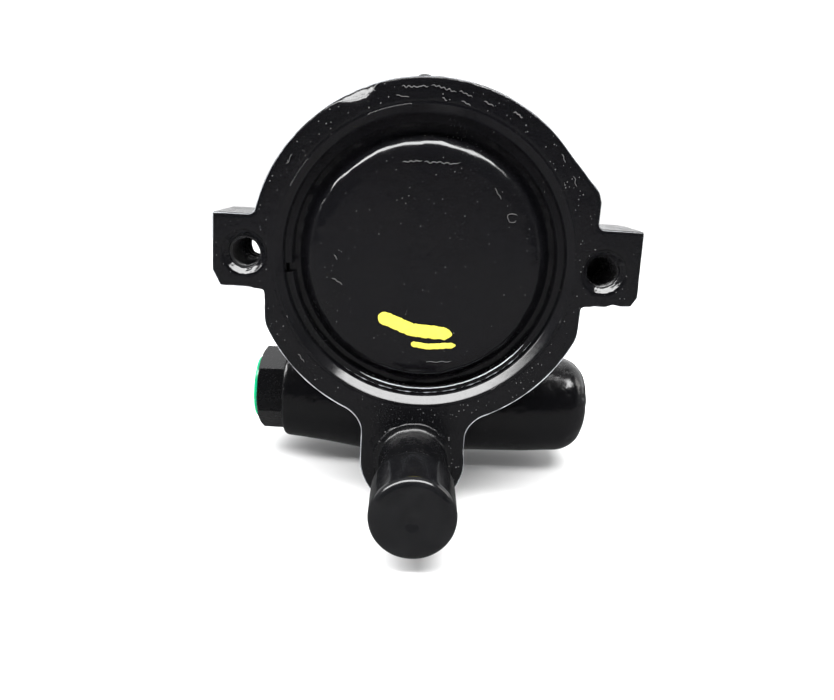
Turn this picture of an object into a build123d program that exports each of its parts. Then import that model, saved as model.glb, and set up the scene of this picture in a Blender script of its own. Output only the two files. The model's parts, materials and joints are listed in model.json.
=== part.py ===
from build123d import *
import os
from math import cos, sin, pi, radians, sqrt

os.makedirs("parts", exist_ok=True)

# Power-steering vane pump, millimetres.
# Origin: shaft axis at the front mounting face. +Y runs out along the drive shaft,
# +Z is up, the end cover faces -Y, the inlet neck hangs towards -Z.

# ---------------------------------------------------------------- driving dimensions
# housing, measured along the shaft from the front mounting face
y_rear = -80.0            # rear rim of the casting
y_floor = -25.0           # floor of the main bore
y_nose = 4.0              # end of the hub pilot
r_rim = 46.9              # rear rim outside
r_barrel = 45.0           # barrel outside, ahead of the rim
r_bore = 38.0             # main bore
mouth_chamfer = 2.0       # 45 degree lead-in, makes the mouth 80 across
t_rim = 22.0              # rim and ear thickness
r_hub = 24.0
r_pilot = 22.0

# ears
ear_half = 48.1           # ear hole to shaft axis
r_ear_tap = 4.25          # M10 tap drill
r_ear_mouth = 5.0
ear_blind = 17.0          # full bore depth of the right ear hole; the left one goes through

# front mounting bosses
boss_circle = 36.0
r_boss = 8.5
r_boss_tap = 3.4          # M8 tap drill
boss_depth = 20.0

# inlet
z_inlet = -57.4
r_neck = 15.2
r_tube = 9.5
r_tube_in = 7.9
r_tube_seat = 9.25        # tube end, swaged down for the neck
tube_seat = 12.0          # tube depth in the neck
tube_out = 28.9           # tube length outside the neck
cap_out = 35.5            # cap nose to rear rim
r_cap = 11.1
cap_len = 17.3
r_cap_nose = 2.3          # rounding between the cap's skirt and its nose

# flow control cross bore
y_valve = -38.0
z_valve = -51.1
r_valve_body = 14.75
x_valve_left = -42.1
x_valve_right = 56.0
r_valve = 8.5
x_valve_end = 46.0
r_fit_bore = 10.45
x_fit_bore = -23.5

# rotating group
ring_w = 18.0             # cam ring width
y_ring0 = y_rear + 29.0   # rear face of the cam ring
y_ring1 = y_ring0 + ring_w
r_cam_min = 24.0
cam_lift = 3.2
r_rotor = 23.7
vane_count = 10
vane_t = 1.8
vane_gap = 0.025          # each side of a vane in its slot
vane_r0 = 15.0
vane_r1 = 23.6
vane_phase = 18.0
side_gap = 0.03           # rotor and vanes to each side plate
r_disc = 37.95            # plates, cam ring and cover in the main bore

# shaft
r_shaft = 8.5
y_shaft_tip = 44.0
r_spline = 8.0
r_spline_root = 7.1
spline_n = 12
r_puller = 4.25

# end stack
y_ringgroove = y_rear + 3.3
t_snap = 2.1
y_cover0 = y_ringgroove + 2.2
y_cover1 = y_rear + 12.0
r_plateau = 31.6
y_plateau = y_rear + 0.3
y_pp0 = y_rear + 18.0     # pressure plate rear face
oring_r = 1.2

valve_axis = Axis((0, y_valve, z_valve), (1, 0, 0))
inlet_axis = Axis((0, 0, z_inlet), (0, 1, 0))


def at_y(y):
    """Sketch plane across the shaft at y: local x is X, local y is Z."""
    return Plane.XZ.offset(-y)


def turned(points, z=0.0):
    """Face with an (r, y) outline, for turning about the shaft axis or one parallel to it."""
    with BuildSketch(Plane.XY.offset(z), mode=Mode.PRIVATE) as sk:
        with BuildLine():
            Polyline(*points, close=True)
        make_face()
    return sk.sketch


def cross(points):
    """Face with an (x, r) outline beside the valve axis, for turning about it."""
    with BuildSketch(Plane(origin=(0, y_valve, z_valve), x_dir=(1, 0, 0), z_dir=(0, 0, 1)), mode=Mode.PRIVATE) as sk:
        with BuildLine():
            Polyline(*points, close=True)
        make_face()
    return sk.sketch


# ---------------------------------------------------------------- housing
with BuildPart() as housing:
    # rear rim with its two ears, the right shoulder and the inlet neck
    with BuildSketch(at_y(y_rear)) as rim:
        Circle(r_rim)
        with BuildLine():
            Polyline((31.9, 34.3), (44.5, 20.8), (45.4, 18.2), (45.5, 8.0), (38.0, 8.0), close=True)
        make_face()
        with BuildLine():
            Polyline((-40.0, 10.4), (-56.7, 10.5), (-56.9, -5.2), (-54.8, -9.3), (-40.0, -9.4), close=True)
        make_face()
        with BuildLine():
            Polyline((40.0, 11.5), (57.7, 11.4), (58.3, -6.6), (56.6, -9.4), (52.4, -9.0), (48.0, -9.6), (40.0, -9.6), close=True)
        make_face()
        with Locations((-0.5, (z_inlet - 30.0) / 2)):
            Rectangle(2 * r_neck - 0.4, -z_inlet - 30.0)
        with Locations((-0.3, z_inlet)):
            Circle(r_neck)
        # flats just under the ears
        with Locations((-47.2, -15.0), (47.4, -15.0)):
            Rectangle(8.4, 11.0, mode=Mode.SUBTRACT)
        corners = rim.vertices().filter_by(lambda v: abs(v.X) < 17 and -49 < v.Z < -40)
        fillet(corners, 4.2)
    extrude(amount=-t_rim)
    # barrel, cone, hub and pilot
    revolve(turned([(0, y_rear + 10), (r_barrel, y_rear + 10), (r_barrel, -26.0), (40.0, -19.0), (30.0, -14.5),
                    (r_hub, -11.0), (r_hub, 0), (r_pilot, 0), (r_pilot, y_nose - 0.8), (r_pilot - 0.8, y_nose), (0, y_nose)]),
            axis=Axis.Y)
    # three front bosses with webs to the hub
    with BuildSketch(at_y(-34.0)):
        with PolarLocations(boss_circle, 3, start_angle=90):
            Circle(r_boss)
    extrude(amount=-34.0)
    with BuildSketch(at_y(-30.0)):
        with PolarLocations(24.0, 3, start_angle=90):
            Rectangle(20.0, 9.0)
    extrude(amount=-26.5)
    # valve body across the pump, rough dome at its closed end
    revolve(cross([(x_valve_left, 0), (x_valve_left, r_valve_body - 0.6), (x_valve_left + 0.6, r_valve_body),
                   (x_valve_right, r_valve_body), (x_valve_right, 0)]), axis=valve_axis)
    dome = housing.edges().filter_by(GeomType.CIRCLE).sort_by(Axis.X)[-1]
    fillet(dome, 7.5)
    # small cast stub on top of the barrel
    with BuildSketch(Plane.XY.offset(42.0)):
        with Locations((-2.5, y_rear + 24.0)):
            Circle(3.4)
    extrude(amount=7.8, taper=6)
    # duct from the neck into the valve body
    with BuildSketch(at_y(y_rear + 20.0)):
        with Locations((-0.3, -55.6)):
            Circle(12.6)
        with Locations((-0.3, -46.0)):
            Rectangle(25.2, 19.0)
    extrude(amount=-22.0)
    # boss around the slanted pressure gallery
    with BuildSketch(Plane(origin=(20.0, -66.0, -34.0), x_dir=(1, 0, 0), z_dir=(0, 26.0, -16.5))):
        Circle(6.0)
    extrude(amount=30.0)

    # main bore, mouth chamfer, ring groove, seal grooves and suction gallery
    g = y_ringgroove
    co = y_cover0 + 3.2                     # cover seal groove centre
    po = y_pp0 + 6.5                        # plate seal groove centre
    revolve(turned([
        (0, y_rear - 1), (r_bore + mouth_chamfer + 1, y_rear - 1), (r_bore + mouth_chamfer, y_rear), (r_bore, y_rear + mouth_chamfer),
        (r_bore, g), (r_bore + 1.6, g), (r_bore + 1.6, g + 2.2), (r_bore, g + 2.2),
        (r_bore, co - 1.35), (r_bore + 2.45, co - 1.35), (r_bore + 2.45, co + 1.35), (r_bore, co + 1.35),
        (r_bore, po - 1.35), (r_bore + 2.45, po - 1.35), (r_bore + 2.45, po + 1.35), (r_bore, po + 1.35),
        (r_bore, y_floor - 11.5), (r_bore + 3.0, y_floor - 10.5), (r_bore + 3.0, y_floor - 3.5), (r_bore, y_floor - 2.5),
        (r_bore, y_floor), (0, y_floor)]), axis=Axis.Y, mode=Mode.SUBTRACT)
    # shaft hole, bushing seat and shaft seal seat
    revolve(turned([(0, y_floor - 1), (9.2, y_floor - 1), (9.2, -23.0), (11.0, -23.0), (11.0, -4.5), (15.0, -4.5),
                    (15.0, y_nose - 0.8), (15.8, y_nose), (15.8, y_nose + 1), (0, y_nose + 1)]), axis=Axis.Y, mode=Mode.SUBTRACT)
    # valve bore with its fitting counterbore
    revolve(cross([(x_valve_left - 1, 0), (x_valve_left - 1, r_fit_bore + 0.9), (x_valve_left, r_fit_bore + 0.9), (x_valve_left + 0.9, r_fit_bore),
                   (x_fit_bore, r_fit_bore), (x_fit_bore + 1.2, r_valve),
                   (x_valve_end, r_valve), (x_valve_end + 4.0, 0)]), axis=valve_axis, mode=Mode.SUBTRACT)
    # inlet seat and passage into the valve bore
    revolve(turned([(0, y_rear - 1), (r_tube + 0.6, y_rear - 1), (r_tube + 0.6, y_rear), (r_tube_seat, y_rear + 0.8), (r_tube_seat, y_rear + tube_seat),
                    (6.4, y_rear + tube_seat), (6.4, y_valve - 4.0), (0, y_valve - 4.0)], z_inlet), axis=inlet_axis, mode=Mode.SUBTRACT)
    # intake riser from the valve bore to the suction gallery
    with BuildSketch(Plane.XY.offset(z_valve)):
        with Locations((0, y_floor - 7.0)):
            Circle(4.0)
    extrude(amount=14.0, mode=Mode.SUBTRACT)
    # slanted pressure gallery from behind the pressure plate to the valve bore
    with BuildSketch(Plane(origin=(20.0, -67.5, -30.0), x_dir=(1, 0, 0), z_dir=(0, 29.5, -21.1))):
        Circle(2.2)
    extrude(amount=36.0, mode=Mode.SUBTRACT)
    # pilot line beside the valve bore: outlet pressure to the spring chamber
    with BuildSketch(Plane.YZ.offset(x_valve_left - 1)):
        with Locations((y_valve - 12.4, z_valve)):
            Circle(1.1)
    extrude(amount=x_valve_end - 4.0 - x_valve_left + 1, mode=Mode.SUBTRACT)
    with BuildSketch(Plane.XZ.offset(-y_valve)):
        with Locations((-26.5, z_valve), (x_valve_end - 5.1, z_valve)):
            Circle(1.0)
    extrude(amount=12.4, mode=Mode.SUBTRACT)
    # ear holes: the left one tapped right through, the right one blind with a drill cone
    with BuildSketch(at_y(y_rear)):
        with Locations((-ear_half, 0)):
            Circle(r_ear_tap)
    extrude(amount=-t_rim, mode=Mode.SUBTRACT)
    revolve(Pos(ear_half, 0, 0) * turned([(0, y_rear), (r_ear_tap, y_rear), (r_ear_tap, y_rear + ear_blind), (0, y_rear + ear_blind + 2.5)]),
            axis=Axis((ear_half, 0, 0), (0, 1, 0)), mode=Mode.SUBTRACT)
    for sx in (-1, 1):
        revolve(Pos(sx * ear_half, 0, 0) * turned([(0, y_rear), (r_ear_mouth, y_rear), (r_ear_tap, y_rear + 0.75), (0, y_rear + 0.75)]),
                axis=Axis((sx * ear_half, 0, 0), (0, 1, 0)), mode=Mode.SUBTRACT)
    # front boss holes
    with BuildSketch(at_y(0)):
        with PolarLocations(boss_circle, 3, start_angle=90):
            Circle(r_boss_tap)
    extrude(amount=boss_depth, mode=Mode.SUBTRACT)
    # dowel holes in the bore floor
    with BuildSketch(at_y(y_floor)):
        with Locations((-31.0, 0), (31.0, 0)):
            Circle(2.5)
    extrude(amount=-4.0, mode=Mode.SUBTRACT)
    # scalloped relief on the upper left of the rim, sloping forward
    notch = [(-30.0, 36.0), (-23.7, 37.8), (-19.5, 38.2), (-16.8, 39.2), (-15.1, 41.2), (-14.2, 43.8), (-13.0, 49.0), (-24.0, 54.0), (-38.0, 44.0)]
    with BuildSketch(at_y(y_rear - 0.5)) as n0:
        with BuildLine():
            Polyline(*notch, close=True)
        make_face()
    with BuildSketch(at_y(y_rear + 6.5)) as n1:
        with BuildLine():
            Polyline(*[(x - 3.4, z + 7.6) for x, z in notch], close=True)
        make_face()
    loft(mode=Mode.SUBTRACT)
housing.part.label = "housing"
export_step(housing.part, "parts/housing.step")

# ---------------------------------------------------------------- end cover, its ring, seal and spring
with BuildPart() as end_cover:
    with BuildSketch(Plane.XY) as cover_half:
        with BuildLine():
            Polyline((0, y_plateau), (r_plateau, y_plateau), (r_plateau + 1.9, y_cover0), (r_disc - 0.6, y_cover0), (r_disc, y_cover0 + 0.6),
                     (r_disc, y_cover1 - 1.0), (r_disc - 1.0, y_cover1), (13.5, y_cover1), (12.6, y_cover1 - 1.4), (0, y_cover1 - 1.4), close=True)
        make_face()
        shoulder = cover_half.vertices().filter_by(lambda v: abs(v.X - r_plateau) < 0.01)
        fillet(shoulder, 3.0)
        root = cover_half.vertices().filter_by(lambda v: abs(v.X - r_plateau - 1.9) < 0.01)
        fillet(root, 1.0)
    revolve(axis=Axis.Y)
end_cover.part.label = "end_cover"
export_step(end_cover.part, "parts/end_cover.step")

with BuildPart() as retaining_ring:
    # round-cornered spring ring, open over 4 degrees at the left
    ring_in, ring_out = 35.75, r_bore + 1.5
    revolve(turned([(ring_in + 0.3, y_ringgroove + 0.05), (ring_out - 0.3, y_ringgroove + 0.05), (ring_out, y_ringgroove + 0.35),
                    (ring_out, y_ringgroove + t_snap - 0.25), (ring_out - 0.3, y_ringgroove + t_snap + 0.05),
                    (ring_in + 0.3, y_ringgroove + t_snap + 0.05), (ring_in, y_ringgroove + t_snap - 0.25), (ring_in, y_ringgroove + 0.35)]),
            axis=Axis.Y)
    with BuildSketch(at_y(y_ringgroove - 1)):
        with BuildLine():
            Polyline((0, 0), (60 * cos(radians(184)), 60 * sin(radians(184))), (60 * cos(radians(188)), 60 * sin(radians(188))), close=True)
        make_face()
    extrude(amount=-5.0, mode=Mode.SUBTRACT)
retaining_ring.part.label = "retaining_ring"
export_step(retaining_ring.part, "parts/retaining_ring.step")

oring_mid = r_disc + oring_r + 0.03
with BuildPart() as end_cover_oring:
    with BuildSketch(Plane.XY):
        with Locations((oring_mid, co)):
            Circle(oring_r)
    revolve(axis=Axis.Y)
end_cover_oring.part.label = "end_cover_oring"
export_step(end_cover_oring.part, "parts/end_cover_oring.step")

with BuildPart() as pressure_plate_oring:
    with BuildSketch(Plane.XY):
        with Locations((oring_mid, po)):
            Circle(oring_r)
    revolve(axis=Axis.Y)
pressure_plate_oring.part.label = "pressure_plate_oring"
export_step(pressure_plate_oring.part, "parts/pressure_plate_oring.step")

plate_wire = 1.1
with BuildPart() as plate_spring:
    spring_y0, spring_y1 = y_cover1 - 1.4 + plate_wire + 0.05, y_pp0 + 1.4 - plate_wire - 0.05
    with BuildLine() as plate_helix:
        Helix(pitch=(spring_y1 - spring_y0) / 2.25, height=spring_y1 - spring_y0, radius=11.0, center=(0, spring_y0, 0), direction=(0, 1, 0))
    with BuildSketch(Plane(origin=plate_helix.wire() @ 0, z_dir=plate_helix.wire() % 0)):
        Circle(plate_wire)
    sweep(path=plate_helix.wire(), is_frenet=True)
plate_spring.part.label = "plate_spring"
export_step(plate_spring.part, "parts/plate_spring.step")

# ---------------------------------------------------------------- pressure plate, cam ring, thrust plate and dowels
with BuildPart() as pressure_plate:
    revolve(turned([(0, y_pp0 + 1.4), (12.9, y_pp0 + 1.4), (13.8, y_pp0), (r_disc - 1, y_pp0), (r_disc, y_pp0 + 1),
                    (r_disc, y_ring0 - 0.4), (r_disc - 0.4, y_ring0), (11.0, y_ring0), (11.0, y_ring0 - 6.5), (0, y_ring0 - 6.5)]), axis=Axis.Y)
    # delivery kidneys on the falling flanks of the cam, and the feed holes behind the vanes
    with BuildSketch(at_y(y_pp0)):
        for a in (113, 293):
            with Locations(Rot(0, 0, 0) * Pos(0, 0)):
                SlotArc(arc=CenterArc((0, 0), 25.2, a, 36, mode=Mode.PRIVATE), height=3.4)
        for a in (20, 110, 200, 290):
            with Locations((16.2 * cos(radians(a + 25)), 16.2 * sin(radians(a + 25)))):
                Circle(1.6)
        with Locations((-31.0, 0), (31.0, 0)):
            Circle(2.55)
    extrude(amount=-(y_ring0 - y_pp0), mode=Mode.SUBTRACT)
    # shallow intake pockets on the rising flanks, open to the rim
    with BuildSketch(at_y(y_ring0)):
        for a in (49, 229):
            SlotArc(arc=CenterArc((0, 0), 25.2, a - 18, 36, mode=Mode.PRIVATE), height=3.4)
    extrude(amount=2.5, mode=Mode.SUBTRACT)
pressure_plate.part.label = "pressure_plate"
export_step(pressure_plate.part, "parts/pressure_plate.step")


def cam_radius(deg):
    """Two-lobed track: smallest on the X axis, largest on the Z axis."""
    return r_cam_min + cam_lift * sin(radians(deg)) ** 2


with BuildPart() as cam_ring:
    with BuildSketch(at_y(y_ring0)):
        Circle(r_disc)
        with BuildLine():
            Spline(*[(cam_radius(a) * cos(radians(a)), cam_radius(a) * sin(radians(a))) for a in range(0, 360, 10)], periodic=True)
        make_face(mode=Mode.SUBTRACT)
        with Locations((-31.0, 0), (31.0, 0)):
            Circle(2.55, mode=Mode.SUBTRACT)
    extrude(amount=-ring_w)
    # cross-over holes that carry intake oil past the ring
    with BuildSketch(at_y(y_ring0)):
        for a in (38, 60, 218, 240):
            with Locations((33.0 * cos(radians(a)), 33.0 * sin(radians(a)))):
                Circle(2.6)
    extrude(amount=-ring_w, mode=Mode.SUBTRACT)
cam_ring.part.label = "cam_ring"
export_step(cam_ring.part, "parts/cam_ring.step")

with BuildPart() as thrust_plate:
    revolve(turned([(9.3, y_ring1), (r_disc - 0.4, y_ring1), (r_disc, y_ring1 + 0.4), (r_disc, y_floor - 0.5), (r_disc - 0.5, y_floor), (9.3, y_floor)]), axis=Axis.Y)
    with BuildSketch(at_y(y_ring1)):
        for a in (49, 229):
            SlotArc(arc=CenterArc((0, 0), 26.0, a - 18, 36, mode=Mode.PRIVATE), height=4.4)
        for a in (38, 60, 218, 240):
            with Locations((33.0 * cos(radians(a)), 33.0 * sin(radians(a)))):
                Circle(2.6)
        with Locations((-31.0, 0), (31.0, 0)):
            Circle(2.55)
    extrude(amount=-(y_floor - y_ring1), mode=Mode.SUBTRACT)
    # rim notches that let intake oil in from the gallery
    with BuildSketch(at_y(y_ring1 + 3.0)):
        with PolarLocations(r_disc, 2, start_angle=49):
            Rectangle(16.0, 16.0)
    extrude(amount=-(y_floor - y_ring1 - 3.0), mode=Mode.SUBTRACT)
thrust_plate.part.label = "thrust_plate"
export_step(thrust_plate.part, "parts/thrust_plate.step")

with BuildPart() as dowel_pins:
    with BuildSketch(at_y(y_pp0 + 3.0)):
        with Locations((-31.0, 0), (31.0, 0)):
            Circle(2.48)
    extrude(amount=-(y_floor + 3.6 - y_pp0 - 3.0))
    chamfer(dowel_pins.edges().filter_by(GeomType.CIRCLE), 0.4)
dowel_pins.part.label = "dowel_pins"
export_step(dowel_pins.part, "parts/dowel_pins.step")


# ---------------------------------------------------------------- rotating group
def spline_section(extra):
    """Splined shaft section, grown by extra for the rotor's bore."""
    with BuildSketch(at_y(0), mode=Mode.PRIVATE) as sk:
        Circle(r_spline_root + extra)
        with PolarLocations(r_spline_root / 2 + r_spline / 2 - 1.0, spline_n):
            Rectangle(r_spline - r_spline_root + 2.0 + 2 * extra, 2.0 + 2 * extra)
    return sk.sketch


with BuildPart() as rotor:
    with BuildSketch(at_y(y_ring0 + side_gap)):
        Circle(r_rotor)
        with PolarLocations(0, vane_count, start_angle=vane_phase):
            with Locations((19.0, 0)):
                Rectangle(10.0, vane_t + 2 * vane_gap, mode=Mode.SUBTRACT)
            with Locations((13.9, 0)):
                Circle(1.5, mode=Mode.SUBTRACT)
    extrude(amount=-(ring_w - 2 * side_gap))
    extrude(Pos(0, y_ring0, 0) * spline_section(0.03), amount=-ring_w, mode=Mode.SUBTRACT)
rotor.part.label = "rotor"
export_step(rotor.part, "parts/rotor.step")

vane_angles = [vane_phase + 360.0 / vane_count * i for i in range(vane_count)]
for i, a in enumerate(vane_angles, 1):
    with BuildPart() as vane:
        with BuildSketch(at_y(y_ring0 + side_gap)):
            with PolarLocations(0, 1, start_angle=a):
                with Locations(((vane_r0 + vane_r1) / 2, 0)):
                    Rectangle(vane_r1 - vane_r0, vane_t)
        extrude(amount=-(ring_w - 2 * side_gap))
        tips = [e for e in vane.edges().filter_by(Axis.Y) if sqrt(e.center().X ** 2 + e.center().Z ** 2) > vane_r1 - 0.5]
        fillet(tips, 0.75)
    vane.part.label = "vane_%02d" % i
    export_step(vane.part, "parts/vane_%02d.step" % i)

with BuildPart() as drive_shaft:
    revolve(turned([(0, y_ring0 - 4.6), (6.2, y_ring0 - 4.6), (6.9, y_ring0 - 3.9), (6.9, y_ring0 - 2.3), (6.1, y_ring0 - 2.3), (6.1, y_ring0 - 0.9),
                    (6.9, y_ring0 - 0.9), (6.9, y_ring0), (r_spline_root, y_ring0), (r_spline_root, y_ring1 + 0.5), (r_shaft - 0.4, y_ring1 + 0.5),
                    (r_shaft, y_ring1 + 0.9), (r_shaft, 4.8), (r_shaft - 0.4, 5.2), (r_shaft - 0.4, 5.8), (r_shaft, 6.2), (r_shaft, y_shaft_tip - 1.0), (r_shaft - 1.0, y_shaft_tip), (0, y_shaft_tip)]), axis=Axis.Y)
    extrude(Pos(0, y_ring0, 0) * spline_section(0.0), amount=-(ring_w + 0.5))
    # tapped hole for the pulley puller, with a centre cone
    revolve(turned([(0, y_shaft_tip), (r_puller + 0.9, y_shaft_tip), (r_puller, y_shaft_tip - 0.9), (r_puller, y_shaft_tip - 24.0), (0, y_shaft_tip - 26.4)]),
            axis=Axis.Y, mode=Mode.SUBTRACT)
drive_shaft.part.label = "drive_shaft"
export_step(drive_shaft.part, "parts/drive_shaft.step")

with BuildPart() as rotor_snap_ring:
    with BuildSketch(at_y(y_ring0 - 2.15)):
        Circle(8.6)
        Circle(6.15, mode=Mode.SUBTRACT)
        with Locations((0, 8.0)):
            Rectangle(6.0, 6.0, mode=Mode.SUBTRACT)
        with Locations((3.9, 7.4), (-3.9, 7.4)):
            Circle(1.7)
        with Locations((3.9, 7.6), (-3.9, 7.6)):
            Circle(0.8, mode=Mode.SUBTRACT)
    extrude(amount=-1.1)
rotor_snap_ring.part.label = "rotor_snap_ring"
export_step(rotor_snap_ring.part, "parts/rotor_snap_ring.step")

# ---------------------------------------------------------------- front bearing and seal
with BuildPart() as shaft_bushing:
    revolve(turned([(r_shaft + 0.03, -22.6), (r_shaft + 0.6, -23.0), (10.5, -23.0), (11.0, -22.5), (11.0, -5.5), (10.5, -5.0), (r_shaft + 0.6, -5.0),
                    (r_shaft + 0.03, -5.6)]), axis=Axis.Y)
shaft_bushing.part.label = "shaft_bushing"
export_step(shaft_bushing.part, "parts/shaft_bushing.step")

with BuildPart() as seal_case:
    revolve(turned([(14.1, -4.4), (15.0, -3.6), (15.0, 2.6), (14.4, 3.0), (10.9, 3.0), (10.9, 2.0), (14.1, 2.0)]), axis=Axis.Y)
seal_case.part.label = "seal_case"
export_step(seal_case.part, "parts/seal_case.step")

with BuildPart() as seal_lip:
    # rubber bonded in the case, main lip on the shaft and a dust lip in front
    revolve(turned([(14.05, 1.95), (10.85, 1.95), (10.85, 3.0), (9.6, 3.0), (8.62, 2.2), (8.62, 1.6), (9.7, 1.0), (9.7, -0.4), (8.6, -2.5), (9.2, -3.6),
                    (9.95, -3.9), (9.95, -3.1), (10.75, -2.3), (10.75, 0.2), (14.05, 0.2)]), axis=Axis.Y)
    with BuildSketch(Plane.XY):
        with Locations((10.75, -3.1)):
            Circle(0.75)
    revolve(axis=Axis.Y, mode=Mode.SUBTRACT)
seal_lip.part.label = "seal_lip"
export_step(seal_lip.part, "parts/seal_lip.step")

with BuildPart() as seal_garter_spring:
    with BuildSketch(Plane.XY):
        with Locations((10.75, -3.1)):
            Circle(0.72)
    revolve(axis=Axis.Y)
seal_garter_spring.part.label = "seal_garter_spring"
export_step(seal_garter_spring.part, "parts/seal_garter_spring.step")

# ---------------------------------------------------------------- flow control valve
x_sp0, x_sp1 = -20.0, 8.0          # spool at rest, against the fitting
with BuildPart() as control_spool:
    revolve(cross([(x_sp0, 0), (x_sp0, 3.0), (x_sp0 + 3.0, 3.0), (x_sp0 + 3.0, r_valve - 0.43), (x_sp0 + 3.4, r_valve - 0.03), (x_sp0 + 10.0, r_valve - 0.03),
                   (x_sp0 + 10.0, 6.2), (x_sp0 + 16.0, 6.2), (x_sp0 + 16.0, r_valve - 0.03), (x_sp1 - 0.4, r_valve - 0.03), (x_sp1, r_valve - 0.43),
                   (x_sp1, 3.6), (-12.0, 3.6), (-13.5, 0)]), axis=valve_axis)
    # drain holes from the relief chamber into the waist
    with BuildSketch(Plane.XY.offset(z_valve - 7.0)):
        with Locations((-7.0, y_valve)):
            Circle(1.0)
    extrude(amount=14.0, mode=Mode.SUBTRACT)
control_spool.part.label = "control_spool"
export_step(control_spool.part, "parts/control_spool.step")

with BuildPart() as relief_plug:
    revolve(cross([(2.0, 1.2), (2.0, 3.2), (2.4, 3.57), (x_sp1, 3.57), (x_sp1, 1.2)]), axis=valve_axis)
    with BuildSketch(Plane.YZ.offset(x_sp1)):
        with Locations((y_valve, z_valve)):
            RegularPolygon(5.2, 6)
            Circle(1.2, mode=Mode.SUBTRACT)
    extrude(amount=3.2)
relief_plug.part.label = "relief_plug"
export_step(relief_plug.part, "parts/relief_plug.step")

r_ball = 2.2
x_ball = 2.0 - sqrt(r_ball ** 2 - 1.2 ** 2) - 0.02
with BuildPart() as relief_ball:
    with BuildSketch(Plane(origin=(0, y_valve, z_valve), x_dir=(1, 0, 0), z_dir=(0, 0, 1))):
        with BuildLine():
            CenterArc((x_ball, 0), r_ball, 0, 180)
            Line((x_ball - r_ball, 0), (x_ball + r_ball, 0))
        make_face()
    revolve(axis=valve_axis)
relief_ball.part.label = "relief_ball"
export_step(relief_ball.part, "parts/relief_ball.step")

x_g = x_ball - r_ball
with BuildPart() as relief_guide:
    revolve(cross([(x_g - 4.6, 0), (x_g - 4.6, 1.5), (x_g - 1.6, 1.5), (x_g - 1.6, 3.35), (x_g - 0.03, 3.35), (x_g - 0.03, 0)]), axis=valve_axis)
relief_guide.part.label = "relief_guide"
export_step(relief_guide.part, "parts/relief_guide.step")

with BuildPart() as relief_spring:
    rs0, rs1, rw = -12.0 + 0.42, x_g - 1.6 - 0.42, 0.38
    with BuildLine() as relief_helix:
        Helix(pitch=(rs1 - rs0) / 5.0, height=rs1 - rs0, radius=2.5, center=(rs0, y_valve, z_valve), direction=(1, 0, 0))
    with BuildSketch(Plane(origin=relief_helix.wire() @ 0, z_dir=relief_helix.wire() % 0)):
        Circle(rw)
    sweep(path=relief_helix.wire(), is_frenet=True)
relief_spring.part.label = "relief_spring"
export_step(relief_spring.part, "parts/relief_spring.step")

with BuildPart() as control_spring:
    cs0, cs1, cw = x_sp1 + 0.95, x_valve_end - 0.95, 0.85
    with BuildLine() as control_helix:
        Helix(pitch=(cs1 - cs0) / 8.0, height=cs1 - cs0, radius=7.2, center=(cs0, y_valve, z_valve), direction=(1, 0, 0))
    with BuildSketch(Plane(origin=control_helix.wire() @ 0, z_dir=control_helix.wire() % 0)):
        Circle(cw)
    sweep(path=control_helix.wire(), is_frenet=True)
control_spring.part.label = "control_spring"
export_step(control_spring.part, "parts/control_spring.step")

# ---------------------------------------------------------------- outlet fitting and its plug
x_hex = x_valve_left - 9.4
with BuildPart() as outlet_fitting:
    with BuildSketch(Plane.YZ.offset(x_hex)):
        with Locations((y_valve, z_valve)):
            RegularPolygon(12.0, 6, major_radius=False, rotation=17.0)
    extrude(amount=x_valve_left - x_hex)
    # chamfered hex ends
    revolve(cross([(x_hex - 1, 12.0), (x_hex, 12.3), (x_hex + 1.0, 14.2), (x_hex + 1.0, 20), (x_hex - 1, 20)]), axis=valve_axis, mode=Mode.SUBTRACT)
    # threaded shank with its seal groove and nose
    revolve(cross([(x_valve_left - 1.0, 0), (x_valve_left - 1.0, r_fit_bore - 0.05), (x_valve_left + 2.0, r_fit_bore - 0.05), (x_valve_left + 2.0, 8.35),
                   (x_valve_left + 4.6, 8.35), (x_valve_left + 4.6, r_fit_bore - 0.05), (-26.5, r_fit_bore - 0.05), (-25.0, 8.8), (x_fit_bore - 0.1, 8.4),
                   (x_fit_bore - 0.1, 0)]), axis=valve_axis)
    # port thread, flare seat and metering orifice
    revolve(cross([(x_hex - 1, 0), (x_hex - 1, 8.2), (x_hex, 8.2), (x_hex + 0.95, 7.25), (x_hex + 15.0, 7.25), (x_hex + 15.0, 5.6), (x_hex + 17.0, 3.2),
                   (-29.0, 3.2), (-28.0, 1.8), (x_fit_bore - 2.5, 1.8), (x_fit_bore - 2.5, 3.4), (-22.0, 3.4), (-22.0, 0)]), axis=valve_axis, mode=Mode.SUBTRACT)
    # cross hole from the orifice throat to the pilot line
    with BuildSketch(Plane.XZ.offset(-y_valve)):
        with Locations((-26.5, z_valve)):
            Circle(0.9)
    extrude(amount=11.0, mode=Mode.SUBTRACT)
outlet_fitting.part.label = "outlet_fitting"
export_step(outlet_fitting.part, "parts/outlet_fitting.step")

with BuildPart() as fitting_oring:
    with BuildSketch(Plane(origin=(0, y_valve, z_valve), x_dir=(1, 0, 0), z_dir=(0, 0, 1))):
        with Locations((x_valve_left + 3.3, 9.4)):
            Circle(1.0)
    revolve(axis=valve_axis)
fitting_oring.part.label = "fitting_oring"
export_step(fitting_oring.part, "parts/fitting_oring.step")

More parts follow.
